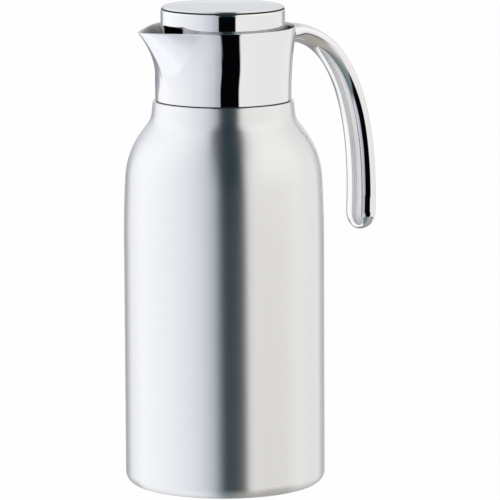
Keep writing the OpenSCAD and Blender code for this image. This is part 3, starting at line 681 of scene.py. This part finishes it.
RINGS = [  # name, body, finish, CAD node, rounding, corners in (radius, height)
    ("foot_cover", "jug", "black_plastic", "base_cap", 0.3, foot_cover()),
    ("collar_ring", "jug", "rubber", "collar_gasket", 0.2, ring_corners(
        COLLAR_HOLE_R, COLLAR_FOOT_R - COLLAR_RING_IN, shell_top, collar_z)),
    ("insert_ring", "jug", "rubber", "insert_gasket", 0.2, ring_corners(
        COLLAR_HOLE_R, COLLAR_FOOT_R - COLLAR_WALL - INSERT_RING_IN,
        collar_floor_z, collar_floor_z + INSERT_RING_T)),
    ("flange_ring", "seal_ring", "silicone", "stopper_seal", 0.5, ring_corners(
        plug_r + FLANGE_GAP, FLANGE_RING_R, *span("stopper_seal", 2))),
    ("seat_ring", "stopper", "black_plastic", "stopper_base", 0.35, stopper_seat()),
    ("valve_disc_surface", "press_cap", "black_plastic", "valve_disc", 0.4, valve_disc()),
    ("valve_ring", "press_cap", "silicone", "valve_seal", 0.5, ring_corners(
        DISC_LIP_R, VALVE_RING_R, disc_top, disc_top + VALVE_RING_H)),
    ("stem_ring", "press_cap", "silicone", "stem_seal", 0.4, ring_corners(
        STEM_RING_IN, STEM_RING_OUT, *span("stem_seal", 2))),
]
for name, body, slot, cad_node, corner, outline in RINGS:
    place(turned(name, rounded(outline, corner)), body, slot, cad_node)

# %% [markdown]
# ## The pad
#
# The rubber pad is what the jug stands on. Its grooves let it lie flat on an uneven table
# and grip when it is wet. They could be a bump in the material, but a bump would not show
# in the pad's outline. A wave in the turned section costs next to nothing.

# %% The pad under the foot
RIDGES, RIDGE_DEPTH, RIDGE_START, PAD_MARGIN = 7, 0.35, 8.0, 4.0
PAD_CHAMFER, PAD_TOP_IN, PAD_ROUND = 0.5, 1.0, 0.25


def pad_outline():
    """The pad's section, with shallow grooves in the face that stands on the table:
    depth = RIDGE_DEPTH sin^2 of the way across, nothing at the ridges' crests."""
    r = np.linspace(RIDGE_START, pad_r - PAD_MARGIN, RIDGES * 24 + 1)
    across = RIDGES * (r - RIDGE_START) / (r[-1] - RIDGE_START)
    face = np.stack([r, RIDGE_DEPTH * np.sin(np.pi * across) ** 2], 1)
    edge = rounded([[pad_r - PAD_CHAMFER, 0], [pad_r, PAD_CHAMFER], [pad_r, PAD_T],
                    [pad_r - PAD_TOP_IN, PAD_T]], PAD_ROUND)
    return np.concatenate([[[0, 0]], face, edge, [[0, PAD_T]]])


place(turned("pad_surface", pad_outline()), "jug", "rubber", "base_pad")

# %% [markdown]
# ## The thread, the insert and the spring
#
# The stopper screws into the insert. The plug carries a raised thread, and the insert a
# matching groove that is moulded into its bore. Both follow one helix. The return spring
# is a round wire whose last turns lie close on each other. On the real jug it shortens as
# the cap goes down; here it is made at one length.
#
# Blender's Screw modifier makes a helix too, but with the same section from end to end.
# Here the section is a function of the turn, so a thread can rise out of its plug, and the
# spring's pitch can change along the wire.

# %% A section carried along a helix
HELIX_STEPS = 72  # sections in one turn


def helix_tube(turns, radius, height, section):
    """A section of points (out, up) carried round the axis: radius + out, height(t) + up,
    with t counting turns. Section may depend on t. The two ends close to a point."""
    t = np.linspace(0, turns, int(turns * HELIX_STEPS) + 1)
    out, up = section(t)
    grid = around(radius + out, height(t)[:, None] + up, 2 * np.pi * t[:, None])
    first, last = (end.mean(1, keepdims=True) + 0 * end for end in (grid[:1], grid[-1:]))
    return np.concatenate([first, grid, last])


print("each section is turned on by", 360 / HELIX_STEPS, "degrees")

# %% The plug's thread
THREAD_LOW, THREAD_PITCH, THREAD_TURNS, THREAD_RUN_OUT = 210.0, 6.0, 2.6, 0.2
THREAD_LEAST, THREAD_SINK = 0.02, 0.1  # share of its height at the tips, and how deep they sink
THREAD_OUT = np.array([-0.3, 0.0, 1.1, 1.4, 1.4, 1.1, 0.0, -0.3])
THREAD_UP = np.array([-1.5, -1.35, -0.65, -0.4, 0.4, 0.65, 1.35, 1.5])


def thread_section(t):
    """A ridge with sloping flanks, whose foot is sunk into the plug. Its height rises from
    the plug and sinks back into it over the first and last fifth of a turn."""
    rise = np.minimum(t, THREAD_TURNS - t) / THREAD_RUN_OUT
    rise = np.clip(rise, THREAD_LEAST, 1)[:, None]
    out = np.where(THREAD_OUT > 0, THREAD_OUT * rise, THREAD_OUT - THREAD_SINK * (1 - rise))
    return out, THREAD_UP + 0 * rise


def thread_height(t):
    """Height of the thread's middle after t turns: low end + pitch t."""
    return THREAD_LOW + THREAD_PITCH * t


thread_grid = helix_tube(THREAD_TURNS, plug_r, thread_height, thread_section)
place(merged(grid_piece("plug_thread", thread_grid)), "stopper", "black_plastic")

# %% The insert with its groove
BORE_R, GROOVE_DEPTH, GROOVE_RUN_OUT, GROOVE_WIDENS = 31.0, 1.3, 2.0, 0.6
GROOVE_FROM_FOOT, GROOVE_FROM_TOP, BORE_EDGE = 2.0, 8.0, 1.0
INSERT_LIP_R, INSERT_R, THROAT_R, FLANGE_R, FLANGE_Z = 32.0, 33.15, 35.8, 38.85, 2.3
insert_low, insert_high = span("neck_insert", 2)


def insert_outside():
    """The insert's section but for its bore: flange, throat in the collar, tube below."""
    flange_z = collar_z + FLANGE_Z
    return rounded([[INSERT_LIP_R, insert_high], [FLANGE_R, insert_high], [FLANGE_R, flange_z],
                    [THROAT_R, flange_z], [THROAT_R, shell_top], [INSERT_R, shell_top],
                    [INSERT_R, insert_low], [INSERT_LIP_R, insert_low]], 0.3)


def insert_surface():
    """The insert as a grid over turn and outline. Along the bore r = BORE_R + groove, where
    groove = depth max(0, cos 2 pi (z - z0 - pitch a) / pitch)^0.6 dies out at both ends."""
    z = np.linspace(insert_low + BORE_EDGE, insert_high - BORE_EDGE, 150)
    a = np.linspace(0, 1, 193)[:-1][:, None]
    phase = (z - thread_height(a)) / THREAD_PITCH
    inside = np.minimum(z - insert_low - GROOVE_FROM_FOOT, insert_high - GROOVE_FROM_TOP - z)
    ends = np.clip(inside / GROOVE_RUN_OUT, 0, 1)
    wave = np.clip(np.cos(2 * np.pi * phase), 0, 1)
    groove = GROOVE_DEPTH * ends * wave**GROOVE_WIDENS
    r, up = (v + 0 * a for v in insert_outside().T)
    return around(np.concatenate([BORE_R + groove, r], 1),
                  np.concatenate([z + 0 * a, up], 1), 2 * np.pi * a)


insert = merged(grid_piece("insert_surface", insert_surface(), True))
place(insert, "jug", "black_plastic", "neck_insert")

# %% The return spring
SPRING_TURNS, COIL_R, WIRE_R, CLOSED_TURNS = 7.0, 5.4, 0.6, 0.75
spring_low, spring_high = span("return_spring", 2)


def wire_section(t):
    """A round wire: (r cos b, r sin b), the same at every turn."""
    b = np.linspace(0, 2 * np.pi, 14, endpoint=False)[None, :] + 0 * t[:, None]
    return WIRE_R * np.cos(b), WIRE_R * np.sin(b)


def spring_height(t):
    """Height of the wire's middle: the end turns climb by one wire, the rest evenly."""
    wire = 2 * WIRE_R
    lift = spring_high - spring_low - wire
    pitch = (lift - 2 * wire * CLOSED_TURNS) / (SPRING_TURNS - 2 * CLOSED_TURNS)
    climb = np.where(t < CLOSED_TURNS, wire * t, wire * CLOSED_TURNS + pitch * (t - CLOSED_TURNS))
    climb = np.where(t > SPRING_TURNS - CLOSED_TURNS, lift - wire * (SPRING_TURNS - t), climb)
    return spring_low + WIRE_R + climb


spring_grid = helix_tube(SPRING_TURNS, COIL_R, spring_height, wire_section)
spring = place(merged(grid_piece("spring_surface", spring_grid)), "stopper", "spring_steel",
               "return_spring")
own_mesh(spring)

# %% [markdown]
# ## Materials
#
# Polished steel is a mirror: a light base colour, full metal, next to no roughness. The
# plastics and rubbers need only a colour and a roughness. The inside of the collar isn't
# polished on a real jug, so the same piece has a second, duller material there. Its darker
# colour is painted shade for the hollow under the cap.

# %% Plain finishes


def material(name, colour, roughness, metallic=0.0):
    """A Principled material with plain values."""
    finish = bpy.data.materials.new(name)
    finish.use_nodes = True
    shader = finish.node_tree.nodes["Principled BSDF"]
    shader.inputs["Base Color"].default_value = (*colour, 1)
    shader.inputs["Roughness"].default_value = roughness
    shader.inputs["Metallic"].default_value = metallic
    return finish


polished = material("polished_steel", (0.93, 0.93, 0.935), 0.015, 1.0)
brushed = material("brushed_steel", (0.91, 0.92, 0.93), 0.33, 1.0)
inner_steel = material("inner_steel", (0.62, 0.62, 0.61), 0.32, 1.0)
# duller satin steel, whose darker colour is painted shade for the hollow under the cap
collar_inside_shaded = material("collar_inside_shaded", (0.42, 0.42, 0.43), 0.15, 1.0)
black_plastic = material("black_plastic", (0.012, 0.012, 0.013), 0.16)
rubber = material("rubber", (0.02, 0.02, 0.02), 0.6)
silicone = material("silicone", (0.72, 0.72, 0.69), 0.45)
print("materials in the file:", [finish.name for finish in bpy.data.materials])

# %% [markdown]
# ## Brushed steel
#
# A brushed body has fine scratches that run round it, so it blurs what it mirrors up and
# down but hardly from side to side. An image of scratches could do this, but it would need
# unwrapping, and it would repeat. Two things do it here without an image. The shader is
# anisotropic, with its grain set round the Z axis. And a noise in the piece's own space,
# squeezed along Z until it is all rings, varies the steel a little from one height to the
# next.

# %% The brushed steel
RING_SCALE = (9.0, 9.0, 1500.0)  # how often the noise changes in a metre of X, Y and Z
NOISE_RANGE, COLOUR_RANGE, ROUGHNESS_RANGE = (0.3, 0.7), (0.955, 0.99), (0.31, 0.36)
QUARTER_TURN = 0.25


def node(tree, kind, **inputs):
    """A shader node of a kind; inputs set its sockets, by name, to a value or a link."""
    made = tree.nodes.new(kind)
    for name, value in inputs.items():
        socket = made.inputs[name.replace("_", " ")]
        if isinstance(value, bpy.types.NodeSocket):
            tree.links.new(value, socket)
        else:
            socket.default_value = value
    return made


def set_grain(finish):
    """Blurs the mirror across the scratches, which run round the Z axis."""
    tree = finish.node_tree
    shader = tree.nodes["Principled BSDF"]
    shader.inputs["Anisotropic"].default_value = 1.0
    shader.inputs["Anisotropic Rotation"].default_value = QUARTER_TURN
    tangent = tree.nodes.new("ShaderNodeTangent")
    tangent.direction_type = "RADIAL"
    tangent.axis = "Z"
    tree.links.new(tangent.outputs["Tangent"], shader.inputs["Tangent"])


def set_brushing(finish):
    """Scratches round the Z axis: noise that changes with height sets how bright and how
    rough the steel is, in place of the plain colour and roughness."""
    tree = finish.node_tree
    at = tree.nodes.new("ShaderNodeTexCoord").outputs["Object"]
    stretch = node(tree, "ShaderNodeMapping", Vector=at, Scale=RING_SCALE)
    noise = node(tree, "ShaderNodeTexNoise", Vector=stretch.outputs[0], Scale=1.0,
                 Detail=3.0, Roughness=0.6)
    for socket, to in (("Base Color", COLOUR_RANGE), ("Roughness", ROUGHNESS_RANGE)):
        spread = node(tree, "ShaderNodeMapRange", Value=noise.outputs["Fac"],
                      From_Min=NOISE_RANGE[0], From_Max=NOISE_RANGE[1], To_Min=to[0], To_Max=to[1])
        tree.links.new(spread.outputs[0], tree.nodes["Principled BSDF"].inputs[socket])


set_grain(brushed)
set_brushing(brushed)
print("nodes in the brushed steel:", len(brushed.node_tree.nodes))

# %% Every piece in its finish
FINISH = {
    "brushed_shell": brushed, "polished_steel": polished, "inner_steel": inner_steel,
    "spring_steel": inner_steel, "black_plastic": black_plastic, "rubber": rubber,
    "silicone": silicone,
}


def dress(piece, finish):
    """Gives a piece one material in all its slots."""
    piece.data.materials.clear()
    piece.data.materials.append(finish)


for part in frame["record"]["subparts"]:
    dress(frame["nodes"][part["node"]], FINISH[part["material_slot"]])
for piece in new_pieces:
    dress(piece, FINISH[piece["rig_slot"]])
# the inside columns take the darker steel, painted shade under the cap
collar.data.materials.append(collar_inside_shaded)
column = np.arange(len(collar.data.polygons)) % collar_columns
collar.data.polygons.foreach_set("material_index", (column >= outside_columns).astype(np.int32))
print("new pieces dressed:", len(new_pieces))

# %% [markdown]
# ## The studio
#
# A mirror is only as good as the room around it. Screens and black cards could be built
# as planes round the jug, but each would have to be moved to change one reflection. Here
# the world is the room, written as a colour for each direction, and a change of one number
# moves one edge in the steel.
#
# The room has two tall white screens, cool on the left and warm on the right. Between them,
# beside the camera, is a black slot. It makes the dark stripe that gives the body its
# round look. Behind the jug stands one more pale screen between two grey walls, which
# draws light and dark lines along the jug's outline. Above is a grey ceiling, which is
# nearly black on the camera's side.

# %% The room at eye level
CAMERA_AZIMUTH = -34.8
azimuth = math.radians(CAMERA_AZIMUTH)
toward = np.array([math.sin(azimuth), -math.cos(azimuth)])
right = np.array([math.cos(azimuth), math.sin(azimuth)])

GAP = (0.0015, 0.0015, 0.0022)
LEVEL = [  # degrees round from the camera, + to its right, and the colour just below eye level
    (-180, (0.98, 0.98, 0.98)), (-168, (0.98, 0.98, 0.98)), (-165, (0.24, 0.25, 0.27)),
    (-154, (0.33, 0.35, 0.38)), (-145, (0.50, 0.52, 0.56)), (-139, (1.02, 1.02, 1.03)),
    (-115, (1.03, 1.04, 1.06)), (-90, (0.95, 0.96, 0.99)), (-60, (0.85, 0.865, 0.91)),
    (-38, (0.77, 0.79, 0.85)), (-18, (0.60, 0.62, 0.68)), (-9, (0.44, 0.46, 0.52)),
    (-5.5, (0.40, 0.42, 0.47)), (-4.8, GAP), (26, GAP), (27, (0.88, 0.87, 0.86)),
    (60, (0.86, 0.85, 0.84)), (110, (0.85, 0.845, 0.84)), (138, (0.86, 0.87, 0.86)),
    (150, (0.42, 0.46, 0.47)), (163, (0.40, 0.44, 0.45)), (171, (0.84, 0.84, 0.85)),
    (180, (0.98, 0.98, 0.98)),
]
slot = [at for at, colour in LEVEL if colour == GAP]
print(f"the black slot is {slot[1] - slot[0]:.1f} degrees wide at eye level")

# %% The room above, and its ceiling
UPPER = [  # the same round, from the horizon up to the edge of the ceiling
    (-180, (0.72, 0.74, 0.77)), (-150, (0.70, 0.72, 0.76)), (-125, (1.08, 1.09, 1.11)),
    (-90, (1.05, 1.06, 1.10)), (-60, (0.90, 0.92, 0.97)), (-30, (0.68, 0.70, 0.76)),
    (-8, (0.45, 0.47, 0.53)), (-5, (0.004, 0.024, 0.038)), (15, (0.004, 0.026, 0.040)),
    (21, (0.10, 0.12, 0.12)), (27, (0.86, 0.86, 0.85)), (60, (1.00, 0.99, 0.98)),
    (100, (0.98, 0.97, 0.96)), (120, (0.84, 0.83, 0.81)), (180, (0.72, 0.74, 0.77)),
]
EDGE = [  # how high the ceiling's edge stands in each direction, in degrees
    (-180, 14), (-172, 24), (-165, 34), (-150, 58), (-120, 74), (-60, 74), (-34, 66),
    (-22, 52), (-12, 30), (-6, 22), (18, 20), (28, 36), (44, 58), (90, 72), (150, 56),
    (165, 44), (173, 24), (180, 14),
]
CEILING = [  # its colour, once more round from the camera
    (-180, (0.34, 0.35, 0.37)), (-120, (0.30, 0.31, 0.33)), (-60, (0.22, 0.23, 0.25)),
    (-20, (0.05, 0.06, 0.07)), (0, (0.010, 0.030, 0.040)), (30, (0.010, 0.030, 0.040)),
    (60, (0.05, 0.05, 0.06)), (120, (0.28, 0.28, 0.29)), (180, (0.34, 0.35, 0.37)),
]
heights = [height for at, height in EDGE]
print(f"the ceiling's edge stands between {min(heights)} and {max(heights)} degrees")

# %% [markdown]
# ## What lies below
#
# A jug that is seen from a little above mirrors mostly what lies below the horizon. Its
# upright wall sends each line of sight on downwards, and the flaring collar sends it
# further down still. So the room goes on below the horizon in three bands: first the
# screens again, as the table shows them, then a dark skirting on the right, and last what
# lies near the jug's own foot.
#
# A real table under the jug would be simpler, but its one grey would fill all of this.

# %% The room below the horizon
FLOOR = [  # the screens, as the table shows them
    (-180, (0.50, 0.50, 0.51)), (-165, (0.24, 0.24, 0.25)), (-140, (0.32, 0.33, 0.35)),
    (-125, (1.00, 1.01, 1.03)), (-90, (0.95, 0.96, 1.00)), (-60, (0.86, 0.88, 0.94)),
    (-36, (0.77, 0.79, 0.85)), (-18, (0.66, 0.68, 0.74)), (-5, (0.46, 0.48, 0.53)),
    (-3.5, (0.40, 0.42, 0.47)), (-2.5, GAP), (24.5, GAP), (26, (0.86, 0.85, 0.84)),
    (60, (0.86, 0.85, 0.83)), (110, (0.84, 0.83, 0.82)), (145, (0.60, 0.60, 0.60)),
    (158, (0.20, 0.20, 0.21)), (172, (0.24, 0.24, 0.25)), (180, (0.50, 0.50, 0.51)),
]
DEEP = [  # with the dark skirting, from 56 to 86 degrees
    (-180, (0.34, 0.34, 0.35)), (-160, (0.26, 0.26, 0.28)), (-135, (1.00, 1.01, 1.04)),
    (-60, (1.00, 1.02, 1.07)), (-32, (0.80, 0.83, 0.89)), (-16, (0.40, 0.44, 0.48)),
    (-10, (0.13, 0.19, 0.22)), (16, (0.22, 0.27, 0.28)), (27, (0.40, 0.38, 0.36)),
    (40, (0.75, 0.74, 0.72)), (56, (0.12, 0.12, 0.12)), (86, (0.12, 0.12, 0.12)),
    (108, (0.75, 0.74, 0.73)), (140, (0.40, 0.40, 0.39)), (180, (0.34, 0.34, 0.35)),
]
TABLE = [  # near the jug's own foot
    (-180, (0.34, 0.34, 0.35)), (-160, (0.26, 0.26, 0.28)), (-135, (0.98, 0.99, 1.02)),
    (-60, (1.00, 1.02, 1.08)), (-30, (0.82, 0.85, 0.91)), (-16, (0.55, 0.58, 0.63)),
    (-10, (0.13, 0.19, 0.22)), (16, (0.22, 0.27, 0.28)), (27, (0.44, 0.42, 0.39)),
    (60, (0.40, 0.37, 0.33)), (120, (0.38, 0.36, 0.33)), (180, (0.34, 0.34, 0.35)),
]
print("directions with a colour of their own:", sum(map(len, (LEVEL, UPPER, FLOOR, DEEP, TABLE))))

# %% Sums and colours with nodes


def math_node(tree, operation, *values):
    """One Math node; values are numbers or sockets. Returns its output."""
    made = tree.nodes.new("ShaderNodeMath")
    made.operation = operation
    for socket, value in zip(made.inputs, values):
        if isinstance(value, bpy.types.NodeSocket):
            tree.links.new(value, socket)
        else:
            socket.default_value = value
    return made.outputs[0]


def ramp(tree, turn, stops):
    """A colour ramp over an angle that runs from -180 to 180 degrees."""
    made = tree.nodes.new("ShaderNodeValToRGB")
    share = math_node(tree, "DIVIDE", math_node(tree, "SUBTRACT", turn, -180), 360)
    tree.links.new(share, made.inputs["Fac"])
    elements = made.color_ramp.elements
    for i, (at, colour) in enumerate(stops):
        mark = elements[i] if i < 2 else elements.new(1.0)
        mark.position = (at + 180) / 360
        mark.color = (*colour, 1)
    return made.outputs["Color"]


def mix(tree, share, a, b):
    """Colour a where share is 0 and b where it is 1."""
    made = tree.nodes.new("ShaderNodeMix")
    made.data_type = "RGBA"
    for index, socket in ((0, share), (6, a), (7, b)):
        tree.links.new(socket, made.inputs[index])
    return made.outputs[2]


def smooth_step(tree, at, low, high):
    """0 below low, 1 above high, and a smooth curve between."""
    made = node(tree, "ShaderNodeMapRange", Value=at, From_Min=low, From_Max=high)
    made.interpolation_type = "SMOOTHSTEP"
    return made.outputs["Result"]


def direction_angles(tree):
    """Degrees round from the camera, and degrees above the horizon, of a ray's direction."""
    ray = tree.nodes.new("ShaderNodeTexCoord").outputs["Generated"]

    def along(x, y):
        made = tree.nodes.new("ShaderNodeVectorMath")
        made.operation = "DOT_PRODUCT"
        made.inputs[1].default_value = (x, y, 0)
        tree.links.new(ray, made.inputs[0])
        return made.outputs["Value"]

    parts = node(tree, "ShaderNodeSeparateXYZ", Vector=ray)
    round_it = math_node(tree, "ARCTAN2", along(*right), along(*toward))
    up = math_node(tree, "ARCSINE", parts.outputs["Z"])
    return math_node(tree, "DEGREES", round_it), math_node(tree, "DEGREES", up)


print("the camera looks along", (-toward).round(3), "and its right hand is", right.round(3))

# %% The world
# Where each band begins and where it is complete, in degrees: above the horizon, above the
# ceiling's edge, and below the horizon.
NEAR_LEVEL, HORIZON = (-7.1, -6.7), (-3, 6)
CEILING_EDGE = (-4, 5)
BELOW, FLOOR_BAND, DEEP_BAND, TABLE_BAND = (10, 16), (17, 24), (28, 33), (40, 45)
NEAR_TURN, BELOW_TURN = 3.0, 2.5  # the slot's sides step: degrees by which the room turns


def room_colour(tree):
    """The colour of the room for a ray's direction: the bands, laid over each other."""
    turn, height = direction_angles(tree)
    down = math_node(tree, "MULTIPLY", height, -1.0)
    near = math_node(tree, "MULTIPLY", smooth_step(tree, height, *NEAR_LEVEL), NEAR_TURN)
    below = math_node(tree, "MULTIPLY", smooth_step(tree, down, *BELOW), BELOW_TURN)
    stepped = math_node(tree, "SUBTRACT", math_node(tree, "ADD", turn, near), below)
    edge = ramp(tree, turn, [(at, (up / 90, up / 90, up / 90)) for at, up in EDGE])
    over = math_node(tree, "SUBTRACT", height, math_node(tree, "MULTIPLY", edge, 90.0))
    room = ramp(tree, stepped, LEVEL)
    for at, band, way, stops in (
            (height, HORIZON, turn, UPPER), (down, FLOOR_BAND, stepped, FLOOR),
            (down, DEEP_BAND, turn, DEEP), (down, TABLE_BAND, turn, TABLE),
            (over, CEILING_EDGE, turn, CEILING)):
        room = mix(tree, smooth_step(tree, at, *band), room, ramp(tree, way, stops))
    return room


def for_camera(tree, seen, others):
    """One shader for what the camera sees itself, another for every other ray."""
    both = tree.nodes.new("ShaderNodeMixShader")
    tree.links.new(tree.nodes.new("ShaderNodeLightPath").outputs["Is Camera Ray"], both.inputs[0])
    tree.links.new(others, both.inputs[1])
    tree.links.new(seen, both.inputs[2])
    return both.outputs[0]


def make_world():
    """The room for mirrors and for soft light, and plain white for the camera."""
    world = bpy.data.worlds.new("studio")
    bpy.context.scene.world = world
    world.use_nodes = True
    tree = world.node_tree
    tree.nodes.clear()
    light = node(tree, "ShaderNodeBackground", Color=room_colour(tree)).outputs[0]
    white = node(tree, "ShaderNodeBackground", Color=(1, 1, 1, 1)).outputs[0]
    node(tree, "ShaderNodeOutputWorld", Surface=for_camera(tree, white, light))
    print("nodes in the world:", len(tree.nodes))


make_world()

# %% [markdown]
# ## The floor
#
# Under the jug is a pale table that keeps a soft shadow. A plain matt plate would look
# grey beside the white room, so to the camera the plate is nearly all white light, with a
# little of the matt white that takes the shadow. Mirrors look through it into the room
# below the horizon, as a jug on a glass table would.

# %% The floor
FLOOR_SIZE, FLOOR_Z = 6.0, -0.0002  # metres; a hair under the foot, so the two don't flicker
FLOOR_MATT, FLOOR_LIGHT = 0.9, 0.975  # the matt white's colour, and the share of light


def floor_finish():
    """Matt white, which to the camera is mostly light."""
    finish = bpy.data.materials.new("floor_white")
    finish.use_nodes = True
    tree = finish.node_tree
    tree.nodes.clear()
    colour = (FLOOR_MATT, FLOOR_MATT, FLOOR_MATT, 1)
    matt = node(tree, "ShaderNodeBsdfDiffuse", Color=colour).outputs[0]
    glow = tree.nodes.new("ShaderNodeEmission").outputs[0]
    both = node(tree, "ShaderNodeMixShader", Fac=FLOOR_LIGHT)
    tree.links.new(matt, both.inputs[1])
    tree.links.new(glow, both.inputs[2])
    node(tree, "ShaderNodeOutputMaterial", Surface=for_camera(tree, both.outputs[0], matt))
    return finish


def make_floor():
    """A flat plate that mirrors don't see."""
    half = FLOOR_SIZE / 2
    corners = [(x * half, y * half, FLOOR_Z) for x, y in ((-1, -1), (1, -1), (1, 1), (-1, 1))]
    mesh = bpy.data.meshes.new("floor")
    mesh.from_pydata(corners, [], [(0, 1, 2, 3)])
    mesh.materials.append(floor_finish())
    floor = bpy.data.objects.new("floor", mesh)
    bpy.context.scene.collection.objects.link(floor)
    floor.visible_glossy = False
    print(f"floor {FLOOR_SIZE} m across, {-FLOOR_Z / MM:.1f} mm under the foot")
    return floor


make_floor()

# %% [markdown]
# ## The camera
#
# A long lens from nearly three metres keeps the jug's sides upright. The camera stands
# about twice as high as the jug and looks slightly down. It could be aimed at an empty
# object with a constraint. Working out its three directions keeps the small turns, aside
# and about its own axis, as plain angles.

# %% The camera
DISTANCE, HEIGHT, PITCH, YAW, ROLL = 2864.2, 600.5, 9.11, 0.31, -0.264
FOCAL_PX, FRAME_PX, SENSOR = 4840.0, 500.0, 36.0
CLIP_END = 50  # metres


def make_camera():
    """Sets the lens and turns the camera from its place: down, aside, and about its axis."""
    pitch, yaw, roll = (math.radians(v) for v in (PITCH, YAW, ROLL))
    ahead = -math.cos(yaw) * toward + math.sin(yaw) * right
    side = math.cos(yaw) * right + math.sin(yaw) * toward
    look = np.array([*(math.cos(pitch) * ahead), -math.sin(pitch)])
    across = np.array([*side, 0.0])
    up = np.cross(across, look)
    turned_x = math.cos(roll) * across + math.sin(roll) * up
    turned_y = -math.sin(roll) * across + math.cos(roll) * up
    data = bpy.data.cameras.new("camera")
    data.sensor_width = SENSOR
    data.lens = FOCAL_PX / FRAME_PX * SENSOR
    data.clip_end = CLIP_END
    camera = bpy.data.objects.new("camera", data)
    bpy.context.scene.collection.objects.link(camera)
    matrix = Matrix(np.stack([turned_x, turned_y, -look], 1).tolist()).to_4x4()
    matrix.translation = (np.array([*(DISTANCE * toward), HEIGHT]) * MM).tolist()
    camera.matrix_world = matrix
    bpy.context.scene.camera = camera
    print(f"lens {data.lens:.1f} mm, camera {HEIGHT:.0f} mm above the table")


make_camera()
bpy.context.scene.view_settings.view_transform = "Standard"
